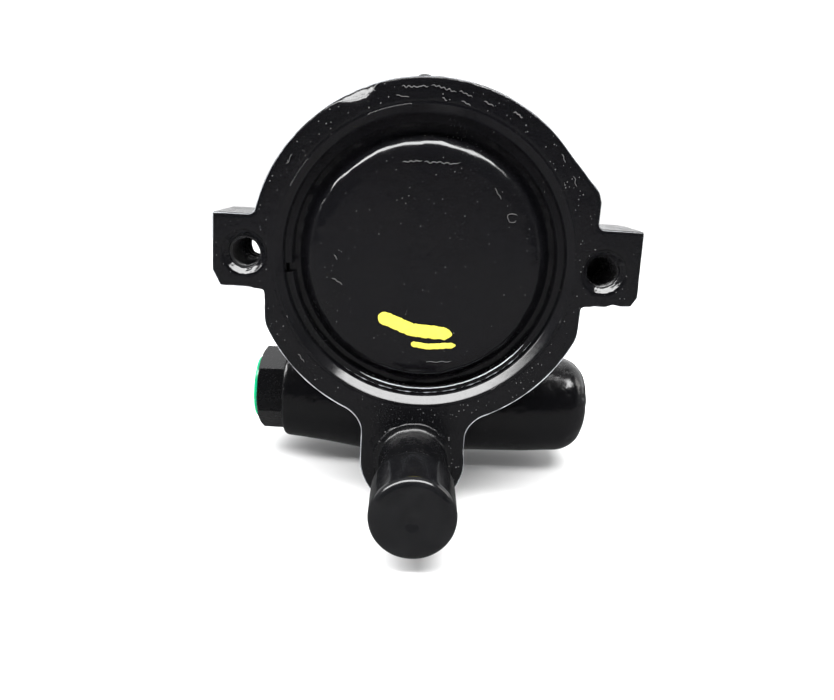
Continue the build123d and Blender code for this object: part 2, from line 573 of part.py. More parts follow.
with BuildPart() as outlet_plug:
    # soft shipping plug: flange, tapered hollow body with two grip beads
    revolve(cross([(x_hex - 1.4, 0), (x_hex - 1.4, 9.9), (x_hex - 1.1, 10.2), (x_hex - 0.4, 10.2), (x_hex - 0.05, 9.9), (x_hex - 0.05, 6.95), (x_hex + 2.5, 6.9),
                   (x_hex + 3.2, 7.15), (x_hex + 3.9, 6.85), (x_hex + 6.5, 6.8), (x_hex + 7.2, 7.1), (x_hex + 7.9, 6.7), (x_hex + 12.0, 6.3),
                   (x_hex + 13.0, 5.6), (x_hex + 13.0, 0)]), axis=valve_axis)
    revolve(cross([(x_hex - 3.0, 0), (x_hex - 3.0, 5.4), (x_hex + 10.8, 4.9), (x_hex + 11.4, 4.3), (x_hex + 11.4, 0)]), axis=valve_axis, mode=Mode.SUBTRACT)
outlet_plug.part.label = "outlet_plug"
export_step(outlet_plug.part, "parts/outlet_plug.step")

with BuildPart() as pilot_line_ball:
    with BuildSketch(Plane(origin=(0, y_valve - 12.4, z_valve), x_dir=(1, 0, 0), z_dir=(0, 0, 1))):
        with BuildLine():
            CenterArc((x_valve_left + 1.6, 0), 1.09, 0, 180)
            Line((x_valve_left + 0.51, 0), (x_valve_left + 2.69, 0))
        make_face()
    revolve(axis=Axis((0, y_valve - 12.4, z_valve), (1, 0, 0)))
pilot_line_ball.part.label = "pilot_line_ball"
export_step(pilot_line_ball.part, "parts/pilot_line_ball.step")

# ---------------------------------------------------------------- inlet tube and its cap
with BuildPart() as inlet_tube:
    y_t0 = y_rear - tube_out
    revolve(turned([(r_tube_in, y_t0), (r_tube - 0.5, y_t0), (r_tube, y_t0 + 0.5), (r_tube, y_rear - 0.2), (r_tube_seat, y_rear + 0.8),
                    (r_tube_seat, y_rear + tube_seat - 0.4), (r_tube_seat - 0.3, y_rear + tube_seat), (r_tube_in, y_rear + tube_seat)], z_inlet), axis=inlet_axis)
inlet_tube.part.label = "inlet_tube"
export_step(inlet_tube.part, "parts/inlet_tube.step")

with BuildPart() as inlet_cap:
    # soft cap with a nearly flat, dimpled nose; its blind end stops on the tube's end
    y_c0 = y_rear - cap_out
    y_c1 = y_rear - tube_out - 0.1
    with BuildSketch(Plane.XY.offset(z_inlet)) as cap_half:
        with BuildLine():
            Polyline((0, y_c0 + 1.0), (1.1, y_c0 + 1.0), (3.0, y_c0), (r_cap - 0.1, y_c0 + 0.5), (r_cap, y_c0 + cap_len - 1.2), (r_cap - 0.2, y_c0 + cap_len),
                     (r_tube + 0.03, y_c0 + cap_len), (r_tube + 0.03, y_c1), (r_tube - 1.5, y_c1 - 2.6), (r_tube - 4.3, y_c1 - 4.1), (0, y_c1 - 4.1), close=True)
        make_face()
        face_edge = cap_half.vertices().filter_by(lambda v: abs(v.X - r_cap + 0.1) < 0.01)
        fillet(face_edge, r_cap_nose)
        dish = cap_half.vertices().filter_by(lambda v: abs(v.X - 3.0) < 0.01 and v.Y < y_c0 + 0.1)
        fillet(dish, 1.5)
    revolve(axis=inlet_axis)
inlet_cap.part.label = "inlet_cap"
export_step(inlet_cap.part, "parts/inlet_cap.step")
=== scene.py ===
import bpy, bmesh, json, math
import numpy as np
from mathutils import Matrix, Vector


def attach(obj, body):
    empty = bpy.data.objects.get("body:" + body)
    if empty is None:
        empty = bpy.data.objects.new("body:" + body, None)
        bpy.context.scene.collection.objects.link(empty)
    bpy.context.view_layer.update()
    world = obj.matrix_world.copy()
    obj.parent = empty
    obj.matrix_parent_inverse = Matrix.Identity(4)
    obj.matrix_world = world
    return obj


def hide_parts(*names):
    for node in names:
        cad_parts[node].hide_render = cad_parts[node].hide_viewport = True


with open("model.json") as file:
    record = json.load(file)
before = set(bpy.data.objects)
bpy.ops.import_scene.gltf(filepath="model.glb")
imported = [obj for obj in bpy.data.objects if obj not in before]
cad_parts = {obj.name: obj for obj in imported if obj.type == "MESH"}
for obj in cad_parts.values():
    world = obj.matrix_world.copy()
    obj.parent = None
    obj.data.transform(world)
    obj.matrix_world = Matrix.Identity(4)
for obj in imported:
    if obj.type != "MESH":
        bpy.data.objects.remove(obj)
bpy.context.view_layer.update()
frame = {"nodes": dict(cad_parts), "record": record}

NODES = frame["nodes"]
MM = 0.001
rng = np.random.default_rng(20240)

# ------------------------------------------------------------------ dimensions shared with the CAD, mm
Y_REAR, Y_FLOOR, Y_NOSE = -80.0, -25.0, 4.0
R_RIM, R_BARREL, R_BORE, T_RIM = 46.9, 45.0, 38.0, 22.0
R_HUB, R_PILOT = 24.0, 22.0
EAR, R_TAP = 48.1, 4.25
Z_IN, R_NECK, R_TUBE, R_TIN = -57.4, 15.2, 9.5, 7.9
Y_V, Z_V, R_V, XV0, XV1 = -38.0, -51.1, 14.75, -42.1, 56.0


# ------------------------------------------------------------------ camera
def place_camera():
    f_px, pitch, yaw, roll = 700.0, math.radians(15.05), math.radians(0.92), math.radians(3.33)
    F = Vector((math.sin(yaw) * math.cos(pitch), math.cos(yaw) * math.cos(pitch), -math.sin(pitch)))
    R = Vector((math.cos(yaw), -math.sin(yaw), 0.0))
    U = R.cross(F)
    R2 = R * math.cos(roll) + U * math.sin(roll)
    U2 = -R * math.sin(roll) + U * math.cos(roll)
    cam = bpy.data.cameras.new("camera")
    cam.sensor_width = 36.0
    cam.lens = f_px / 834.0 * 36.0
    cam.clip_start, cam.clip_end = 0.01, 20.0
    ob = bpy.data.objects.new("camera", cam)
    m = Matrix.Identity(4)
    for i in range(3):
        m[i][0], m[i][1], m[i][2] = R2[i], U2[i], -F[i]
    m[0][3], m[1][3], m[2][3] = -3.72 * MM, (-186.21 + Y_REAR) * MM, 25.87 * MM
    ob.matrix_world = m
    bpy.context.scene.collection.objects.link(ob)
    bpy.context.scene.camera = ob
    return ob


# ------------------------------------------------------------------ small numpy geometry kit
def link(name, verts, faces, smooth=True):
    me = bpy.data.meshes.new(name)
    verts = np.asarray(verts, dtype=np.float32)
    me.vertices.add(len(verts))
    me.vertices.foreach_set("co", (verts * MM).ravel())
    faces = [np.asarray(faces)] if isinstance(faces, np.ndarray) else faces
    loops, starts, totals, at = [], [], [], 0
    for block in faces:
        block = np.asarray(block, dtype=np.int32)
        if block.ndim == 1:
            block = block[None, :]
        n, k = block.shape
        loops.append(block.ravel())
        starts.append(at + np.arange(n, dtype=np.int32) * k)
        totals.append(np.full(n, k, dtype=np.int32))
        at += n * k
    me.loops.add(at)
    me.loops.foreach_set("vertex_index", np.concatenate(loops))
    st, to = np.concatenate(starts), np.concatenate(totals)
    me.polygons.add(len(st))
    me.polygons.foreach_set("loop_start", st)
    me.polygons.foreach_set("loop_total", to)
    me.update(calc_edges=True)
    me.validate()
    me.polygons.foreach_set("use_smooth", np.full(len(me.polygons), smooth))
    ob = bpy.data.objects.new(name, me)
    bpy.context.scene.collection.objects.link(ob)
    return ob


def lattice(n, seed):
    return np.random.default_rng(seed).random((n, n, n)).astype(np.float32)


_LAT = lattice(32, 7)


def noise(P, scale, seed=0):
    """Smooth value noise, -1..1, with features of about `scale` mm."""
    Q = np.asarray(P, dtype=np.float64) / scale + np.array([3.1, 7.7, 1.3]) * (seed + 1)
    I = np.floor(Q).astype(np.int64)
    T = Q - I
    T = T * T * T * (T * (T * 6 - 15) + 10)
    out = 0.0
    for dx in (0, 1):
        for dy in (0, 1):
            for dz in (0, 1):
                w = (T[:, 0] if dx else 1 - T[:, 0]) * (T[:, 1] if dy else 1 - T[:, 1]) * (T[:, 2] if dz else 1 - T[:, 2])
                out = out + w * _LAT[(I[:, 0] + dx) % 32, (I[:, 1] + dy) % 32, (I[:, 2] + dz) % 32]
    return out * 2 - 1


def smooth01(x, a, b):
    t = np.clip((x - a) / (b - a), 0, 1)
    return t * t * (3 - 2 * t)


# signed distances
def r_union(a, b, k):
    u, v = np.maximum(k - a, 0), np.maximum(k - b, 0)
    return np.maximum(k, np.minimum(a, b)) - np.sqrt(u * u + v * v)


def r_inter(a, b, k):
    u, v = np.maximum(k + a, 0), np.maximum(k + b, 0)
    return np.minimum(-k, np.maximum(a, b)) + np.sqrt(u * u + v * v)


def r_cut(a, b, k):
    return r_inter(a, -b, k)


def box2(u, v, cu, cv, hu, hv, r=0.0):
    du, dv = np.abs(u - cu) - hu + r, np.abs(v - cv) - hv + r
    return np.minimum(np.maximum(du, dv), 0) + np.sqrt(np.maximum(du, 0) ** 2 + np.maximum(dv, 0) ** 2) - r


def poly2(u, v, pts):
    """Signed distance to a closed polygon in 2-D, negative inside."""
    pts = np.asarray(pts, dtype=np.float64)
    d = np.full(np.shape(u), 1e9, dtype=np.float64)
    s = np.ones(np.shape(u))
    n = len(pts)
    for i in range(n):
        a, b = pts[i], pts[i - 1]
        e = b - a
        wu, wv = u - a[0], v - a[1]
        t = np.clip((wu * e[0] + wv * e[1]) / (e @ e), 0, 1)
        bu, bv = wu - e[0] * t, wv - e[1] * t
        d = np.minimum(d, bu * bu + bv * bv)
        c1, c2, c3 = v >= a[1], v < b[1], e[0] * wv > e[1] * wu
        flip = (c1 & c2 & c3) | (~c1 & ~c2 & ~c3)
        s = np.where(flip, -s, s)
    return s * np.sqrt(d)


def outline(x, z):
    """The rear rim's outline: round body, right shoulder, two ears, inlet neck."""
    body = np.sqrt(x * x + z * z) - R_RIM
    body = r_cut(body, box2(x, z, 47.2, -15.0, 4.0, 5.6, 1.2), 1.0)
    body = r_cut(body, box2(x, z, -47.2, -15.0, 4.2, 5.6, 1.2), 1.0)
    sh = poly2(x, z, [(31.9, 34.3), (44.5, 20.8), (45.3, 18.2), (45.4, 8.0), (30.0, 8.0)]) - 0.12
    d = np.minimum(body, sh)
    ear_l = poly2(x, z, [(-38.0, 9.8), (-55.9, 9.8), (-56.2, -4.9), (-54.3, -8.7), (-38.0, -8.8)]) - 0.65
    ear_r = poly2(x, z, [(38.0, 10.8), (57.0, 10.7), (57.5, -6.4), (56.2, -8.5), (53.8, -8.7), (51.8, -8.2), (49.6, -8.9), (38.0, -9.0)]) - 0.65
    d = r_union(d, ear_l, 1.3)
    d = r_union(d, ear_r, 1.3)
    neck = np.maximum(box2(x, z, -0.5, -40.0, R_NECK - 0.2, 17.4), -1e3)
    neck = np.minimum(neck, np.sqrt((x + 0.3) ** 2 + (z - Z_IN) ** 2) - R_NECK)
    d = r_union(d, neck, 4.6)
    return d


NOTCH = [(-30.0, 36.0), (-23.7, 37.8), (-19.5, 38.2), (-16.8, 39.2), (-15.1, 41.2), (-14.2, 43.8), (-13.0, 49.0), (-24.0, 54.0), (-38.0, 44.0)]


def rev(rad, y, pts, rnd=0.0):
    return poly2(rad, y, pts) - rnd


def seg_cyl(x, y, z, a, b, r):
    a, b = np.array(a, float), np.array(b, float)
    ax = b - a
    L = np.linalg.norm(ax)
    ax = ax / L
    t = (x - a[0]) * ax[0] + (y - a[1]) * ax[1] + (z - a[2]) * ax[2]
    px, py, pz = x - a[0] - t * ax[0], y - a[1] - t * ax[1], z - a[2] - t * ax[2]
    return r_inter(np.sqrt(px * px + py * py + pz * pz) - r, np.abs(t - L / 2) - L / 2, 0.1)


G0 = Y_REAR + 3.3
CO, PO = G0 + 2.2 + 3.2, Y_REAR + 18.0 + 6.5
BORE = [(-5, Y_REAR - 3), (R_BORE + 5, Y_REAR - 3), (R_BORE + 2, Y_REAR), (R_BORE, Y_REAR + 2),
        (R_BORE, G0), (R_BORE + 1.6, G0), (R_BORE + 1.6, G0 + 2.2), (R_BORE, G0 + 2.2),
        (R_BORE, CO - 1.35), (R_BORE + 2.45, CO - 1.35), (R_BORE + 2.45, CO + 1.35), (R_BORE, CO + 1.35),
        (R_BORE, PO - 1.35), (R_BORE + 2.45, PO - 1.35), (R_BORE + 2.45, PO + 1.35), (R_BORE, PO + 1.35),
        (R_BORE, Y_FLOOR - 11.5), (R_BORE + 3, Y_FLOOR - 10.5), (R_BORE + 3, Y_FLOOR - 3.5), (R_BORE, Y_FLOOR - 2.5),
        (R_BORE, Y_FLOOR), (-5, Y_FLOOR)]
BOSS = [(36.0 * math.cos(math.radians(a)), 36.0 * math.sin(math.radians(a))) for a in (90, 210, 330)]


def casting(x, y, z):
    """Signed distance of the whole housing, mm."""
    rad = np.sqrt(x * x + z * z)
    rim = r_inter(outline(x, z), np.abs(y - (Y_REAR + T_RIM / 2)) - T_RIM / 2, 0.75)
    barrel = rev(rad, y, [(-9, Y_REAR + 11), (R_BARREL - 1, Y_REAR + 11), (R_BARREL - 1, -26.4), (39.6, -20.0), (29.6, -15.4), (R_HUB - 1, -12.4),
                          (R_HUB - 1, -1.0), (-9, -1.0)], 1.0)
    d = r_union(rim, barrel, 2.6)
    for bx, bz in BOSS:
        b = r_inter(np.sqrt((x - bx) ** 2 + (z - bz) ** 2) - 8.5, np.abs(y + 19.0) - 19.0, 0.6)
        d = r_union(d, b, 2.6)
        ux, uz = bx / 36.0, bz / 36.0
        s, t = x * ux + z * uz, -x * uz + z * ux
        w = np.maximum(np.abs(t) - 3.5, np.maximum(np.abs(s - 24.0) - 10.0, np.abs(y + 17.7) - 12.7)) - 1.0
        d = r_union(d, w, 2.0)
    stub = np.sqrt((x + 2.5) ** 2 + (y - Y_REAR - 24.0) ** 2) - 3.3 + (z - 42.0) * 0.105
    d = r_union(d, r_inter(r_inter(stub, z - 49.8, 1.7), 40.0 - z, 0.1), 3.2)
    rv = np.sqrt((y - Y_V) ** 2 + (z - Z_V) ** 2)
    cross = r_inter(rv - R_V, x - XV1, 7.5)
    cross = r_inter(cross, XV0 - x, 0.5)
    # the valve body sags towards the neck, so its underside runs lower than its ends
    sag = np.interp(x, [-43, -32, -17, 0, 15, 37, 50, 57], [0.2, 2.2, 4.9, 5.2, 3.7, 2.8, 1.3, 0.6])
    rs = np.sqrt((y - Y_V) ** 2 + (z - Z_V + sag) ** 2)
    low = r_inter(r_inter(rs - R_V, x - XV1, 7.5), XV0 - x, 0.5)
    cross = r_union(cross, low, 4.0)
    d = r_union(d, cross, 3.0)
    duct = np.minimum(np.sqrt((x + 0.3) ** 2 + (z + 55.6) ** 2) - 12.6, box2(x, z, -0.3, -46.0, 12.6, 9.5))
    duct = np.maximum(duct, np.abs(y + 49.0) - 11.0)
    d = r_union(d, duct, 3.0)
    gal = seg_cyl(x, y, z, (20.0, -64.0, -35.3), (20.0, -44.0, -48.0), 6.0)
    d = r_union(d, gal, 3.0)
    # machined openings
    d = r_cut(d, rev(rad, y, BORE), 0.12)
    d = r_cut(d, rev(rad, y, [(-5, Y_FLOOR - 1), (9.2, Y_FLOOR - 1), (9.2, -23), (11, -23), (11, -4.5), (15, -4.5), (15, Y_NOSE - 0.8), (16.8, Y_NOSE + 1), (-5, Y_NOSE + 1)]), 0.12)
    return d


def casting_full(x, y, z):
    rad = np.sqrt(x * x + z * z)
    d = casting(x, y, z)
    pilot = rev(rad, y, [(15.0, -3.0), (R_PILOT - 0.6, -3.0), (R_PILOT - 0.6, Y_NOSE - 0.6), (15.6, Y_NOSE - 0.6)], 0.6)
    pilot = r_cut(pilot, rad - 15.0, 0.3)
    d = np.minimum(d, pilot)
    rv = np.sqrt((y - Y_V) ** 2 + (z - Z_V) ** 2)
    d = r_cut(d, rev(rv, x, [(-4, XV0 - 1), (11.35, XV0 - 1), (11.35, XV0), (10.45, XV0 + 0.9), (10.45, -23.5), (8.5, -22.3), (8.5, 46.0), (-4, 48.0)]), 0.12)
    ri = np.sqrt(x * x + (z - Z_IN) ** 2)
    d = r_cut(d, rev(ri, y, [(-4, Y_REAR - 2), (10.1, Y_REAR - 2), (10.1, Y_REAR), (9.25, Y_REAR + 0.8), (9.25, Y_REAR + 12), (6.4, Y_REAR + 12), (6.4, -42), (-4, -42)]), 0.12)
    d = np.maximum(d, -seg_cyl(x, y, z, (0, Y_FLOOR - 7, Z_V), (0, Y_FLOOR - 7, Z_V + 14), 4.0))
    dirv = np.array([0, 29.5, -21.1]) / math.hypot(29.5, 21.1)
    a = np.array([20.0, -67.5, -30.0])
    d = np.maximum(d, -seg_cyl(x, y, z, a, a + dirv * 36, 2.2))
    for sx, end in ((-EAR, Y_REAR + T_RIM + 1), (EAR, Y_REAR + 17.4)):
        re = np.sqrt((x - sx) ** 2 + z * z)
        d = r_cut(d, rev(re, y, [(-4, Y_REAR - 1), (6.95, Y_REAR - 1), (5.9, Y_REAR), (5.05, Y_REAR + 0.9), (5.05, end), (-4, end)]), 0.12)
    for bx, bz in BOSS:
        rb = np.sqrt((x - bx) ** 2 + (z - bz) ** 2)
        d = r_cut(d, rev(rb, y, [(-4, 1), (5.2, 1), (4.1, 0), (4.05, -20), (-4, -22.0)]), 0.1)
    # scalloped relief, sloping forward
    s = y - (Y_REAR - 0.5)
    rise = 1.64 * np.minimum(s, 3.7) + 0.55 * np.maximum(s - 3.7, 0.0)
    n = poly2(x + 0.49 * s, z - rise, NOTCH) * 0.55
    n = np.maximum(n, y - (Y_REAR + 6.5))
    d = r_cut(d, n, 0.55)
    return d


def surface_net(fn, lo, hi, h):
    """Closed quad mesh of fn = 0 on a grid of step h, its points pulled onto the surface."""
    lo, hi = np.array(lo, float), np.array(hi, float)
    n = np.ceil((hi - lo) / h).astype(int) + 1
    xs, ys, zs = (lo[i] + h * np.arange(n[i]) for i in range(3))
    V = np.empty(n, dtype=np.float32)
    X2, Z2 = None, None
    step = 12
    for i in range(0, n[1], step):
        yy = ys[i:i + step]
        X, Y, Z = np.meshgrid(xs, yy, zs, indexing="ij")
        V[:, i:i + step, :] = fn(X, Y, Z)
    S = V < 0
    mixed = np.zeros((n[0] - 1, n[1] - 1, n[2] - 1), dtype=np.int8)
    for a in (0, 1):
        for b in (0, 1):
            for c in (0, 1):
                mixed += S[a:n[0] - 1 + a, b:n[1] - 1 + b, c:n[2] - 1 + c]
    cell = (mixed > 0) & (mixed < 8)
    idx = np.argwhere(cell)
    ids = np.full(cell.shape, -1, dtype=np.int64)
    ids[tuple(idx.T)] = np.arange(len(idx))
    acc = np.zeros((len(idx), 3)); cnt = np.zeros(len(idx))
    corners = [(a, b, c) for a in (0, 1) for b in (0, 1) for c in (0, 1)]
    for p in corners:
        for ax in range(3):
            if p[ax]:
                continue
            q = list(p); q[ax] = 1
            va = V[idx[:, 0] + p[0], idx[:, 1] + p[1], idx[:, 2] + p[2]]
            vb = V[idx[:, 0] + q[0], idx[:, 1] + q[1], idx[:, 2] + q[2]]
            m = (va < 0) != (vb < 0)
            t = np.where(m, va / np.where(m, va - vb, 1), 0)
            pos = np.array(p, float)[None, :].repeat(len(idx), 0)
            pos[:, ax] += t
            acc[m] += pos[m]; cnt[m] += 1
    P = lo + h * (idx + acc / cnt[:, None])
    quads = []
    for ax in range(3):
        o = [0, 1, 2]; o.remove(ax); u, v = o
        sl0 = [slice(None)] * 3; sl1 = [slice(None)] * 3
        sl0[ax] = slice(0, n[ax] - 1); sl1[ax] = slice(1, n[ax])
        a, b = S[tuple(sl0)], S[tuple(sl1)]
        e = np.argwhere(a != b)
        ok = (e[:, u] > 0) & (e[:, v] > 0) & (e[:, u] < n[u] - 1) & (e[:, v] < n[v] - 1)
        e = e[ok]
        inside = a[tuple(e.T)]
        c = []
        for du, dv in ((-1, -1), (0, -1), (0, 0), (-1, 0)):
            k = e.copy(); k[:, u] += du; k[:, v] += dv
            c.append(ids[tuple(k.T)])
        q = np.stack(c, 1)
        flip = inside if (u, v) in ((1, 2), (0, 1)) else ~inside
        q[~flip] = q[~flip][:, ::-1]
        quads.append(q)
    Q = np.concatenate(quads)
    for k in range(3):
        eps = 0.02
        d = fn(P[:, 0], P[:, 1], P[:, 2])
        g = np.stack([fn(P[:, 0] + eps, P[:, 1], P[:, 2]) - d, fn(P[:, 0], P[:, 1] + eps, P[:, 2]) - d, fn(P[:, 0], P[:, 1], P[:, 2] + eps) - d], 1) / eps
        gn = np.maximum((g * g).sum(1), 0.15)
        P = P - np.clip(d / gn, -h * 0.6, h * 0.6)[:, None] * g
    N = g / np.maximum(np.linalg.norm(g, axis=1), 1e-6)[:, None]
    return P, Q, N


# ------------------------------------------------------------------ studio
def node_kit(nt):
    def new(kind, **ins):
        n = nt.nodes.new(kind)
        for k, v in ins.items():
            n.inputs[int(k[1:]) if k[0] == "i" and k[1:].isdigit() else k.replace("_", " ")].default_value = v
        return n

    def math_node(op, a, b=0.0, clamp=False):
        n = nt.nodes.new("ShaderNodeMath"); n.operation = op; n.use_clamp = clamp
        for i, v in enumerate((a, b)):
            if hasattr(v, "is_output"):
                nt.links.new(v, n.inputs[i])
            else:
                n.inputs[i].default_value = v
        return n.outputs[0]

    def ramp(v, lo, hi, a=0.0, b=1.0, kind="SMOOTHSTEP"):
        n = nt.nodes.new("ShaderNodeMapRange"); n.interpolation_type = kind; n.clamp = True
        nt.links.new(v, n.inputs["Value"])
        n.inputs["From Min"].default_value, n.inputs["From Max"].default_value = lo, hi
        n.inputs["To Min"].default_value, n.inputs["To Max"].default_value = a, b
        return n.outputs[0]
    return new, math_node, ramp


def studio():
    sc = bpy.context.scene
    sc.view_settings.view_transform = "Standard"
    sc.view_settings.look = "None"
    w = bpy.data.worlds.new("studio")
    sc.world = w
    w.use_nodes = True
    nt = w.node_tree
    nt.nodes.clear()
    new, M, ramp = node_kit(nt)
    sep = nt.nodes.new("ShaderNodeSeparateXYZ")
    nt.links.new(nt.nodes.new("ShaderNodeTexCoord").outputs["Generated"], sep.inputs[0])
    x, y, z = sep.outputs
    ax = M("ABSOLUTE", x)
    back = ramp(y, 0.16, 0.55, 0.0, 1.25)
    side = ramp(ax, 0.80, 0.99, 0.0, 0.22)
    top = ramp(z, 0.45, 0.95, 0.0, 0.10)
    glossy = M("ADD", M("ADD", M("MAXIMUM", back, side), top), 0.013)
    lp = nt.nodes.new("ShaderNodeLightPath")
    env = M("ADD", M("MULTIPLY", glossy, M("SUBTRACT", 1.0, lp.outputs["Is Diffuse Ray"])), M("MULTIPLY", lp.outputs["Is Diffuse Ray"], 0.72))
    env = M("MAXIMUM", env, M("MULTIPLY", lp.outputs["Is Camera Ray"], 1.05))
    bg = nt.nodes.new("ShaderNodeBackground")
    bg.inputs[0].default_value = (0.985, 0.992, 1.0, 1)
    nt.links.new(env, bg.inputs[1])
    nt.links.new(bg.outputs[0], nt.nodes.new("ShaderNodeOutputWorld").inputs[0])
    # paper floor that runs out of sight
    me = bpy.data.meshes.new("floor")
    s = 6.0
    me.from_pydata([(-s, -s, 0), (s, -s, 0), (s, s, 0), (-s, s, 0)], [], [(0, 1, 2, 3)])
    fl = bpy.data.objects.new("floor", me)
    fl.location = (0, 0, -72.75 * MM)
    sc.collection.objects.link(fl)
    m = bpy.data.materials.new("floor_paper"); m.use_nodes = True
    nt = m.node_tree
    nt.nodes.clear()
    new, M, ramp = node_kit(nt)
    diff = nt.nodes.new("ShaderNodeBsdfDiffuse"); diff.inputs[0].default_value = (0.9, 0.9, 0.9, 1)
    em = nt.nodes.new("ShaderNodeEmission")
    geo = nt.nodes.new("ShaderNodeNewGeometry")
    dist = nt.nodes.new("ShaderNodeVectorMath"); dist.operation = "LENGTH"
    nt.links.new(geo.outputs["Position"], dist.inputs[0])
    far = ramp(dist.outputs["Value"], 0.35, 1.2)
    gl = nt.nodes.new("ShaderNodeLightPath")
    nt.links.new(M("ADD", M("MULTIPLY", gl.outputs["Is Camera Ray"], 1.06), M("MULTIPLY", gl.outputs["Is Glossy Ray"], 0.10)), em.inputs[1])
    mix = nt.nodes.new("ShaderNodeMixShader")
    nt.links.new(M("MAXIMUM", M("MULTIPLY", far, gl.outputs["Is Camera Ray"]), M("MULTIPLY", gl.outputs["Is Glossy Ray"], 0.95)), mix.inputs[0])
    nt.links.new(diff.outputs[0], mix.inputs[1]); nt.links.new(em.outputs[0], mix.inputs[2])
    nt.links.new(mix.outputs[0], nt.nodes.new("ShaderNodeOutputMaterial").inputs[0])
    me.materials.append(m)

    def area(name, loc, target, size, radiance, col=(1, 1, 1)):
        L = bpy.data.lights.new(name, "AREA"); L.shape = "RECTANGLE"
        L.size, L.size_y = size; L.energy = radiance * math.pi * size[0] * size[1]; L.color = col
        o = bpy.data.objects.new(name, L)
        o.location = loc
        o.rotation_euler = (Vector(target) - Vector(loc)).to_track_quat("-Z", "Y").to_euler()
        sc.collection.objects.link(o)
        return o
    # a long ceiling tube, and a weaker fill from the right
    area("ceiling_tube", (-0.62, -0.38, 0.90), (-0.62, -0.02, 0.0), (2.7, 0.36), 17.5)
    area("right_fill", (0.95, 0.10, 0.45), (0, -0.05, 0), (0.35, 0.5), 3.2, (1.0, 0.985, 0.96))


# ------------------------------------------------------------------ materials
def shell(name):
    m = bpy.data.materials.new(name); m.use_nodes = True
    nt = m.node_tree
    b = nt.nodes["Principled BSDF"]
    new, M, ramp = node_kit(nt)
    mp = nt.nodes.new("ShaderNodeMapping"); mp.inputs["Scale"].default_value = (1000, 1000, 1000)
    nt.links.new(nt.nodes.new("ShaderNodeTexCoord").outputs["Object"], mp.inputs["Vector"])
    P = mp.outputs[0]

    def noise_tex(scale, detail=2.0, rough=0.5, vec=None, dist=0.0):
        n = nt.nodes.new("ShaderNodeTexNoise")
        n.inputs["Scale"].default_value, n.inputs["Detail"].default_value = scale, detail
        n.inputs["Roughness"].default_value, n.inputs["Distortion"].default_value = rough, dist
        nt.links.new(vec or P, n.inputs["Vector"])
        return n.outputs["Fac"]

    def cells(scale, feature="F1", vec=None, rnd=1.0):
        n = nt.nodes.new("ShaderNodeTexVoronoi"); n.feature = feature
        n.inputs["Scale"].default_value = scale; n.inputs["Randomness"].default_value = rnd
        nt.links.new(vec or P, n.inputs["Vector"])
        return n

    def bump(height, strength, distance_mm, prev=None):
        n = nt.nodes.new("ShaderNodeBump")
        n.inputs["Strength"].default_value, n.inputs["Distance"].default_value = strength, distance_mm * MM
        nt.links.new(height, n.inputs["Height"])
        if prev is not None:
            nt.links.new(prev, n.inputs["Normal"])
        return n.outputs[0]
    return m, nt, b, M, ramp, noise_tex, cells, bump, P


def bevel(nt, radius_mm):
    n = nt.nodes.new("ShaderNodeBevel"); n.samples = 4
    n.inputs["Radius"].default_value = radius_mm * MM
    return n.outputs[0]


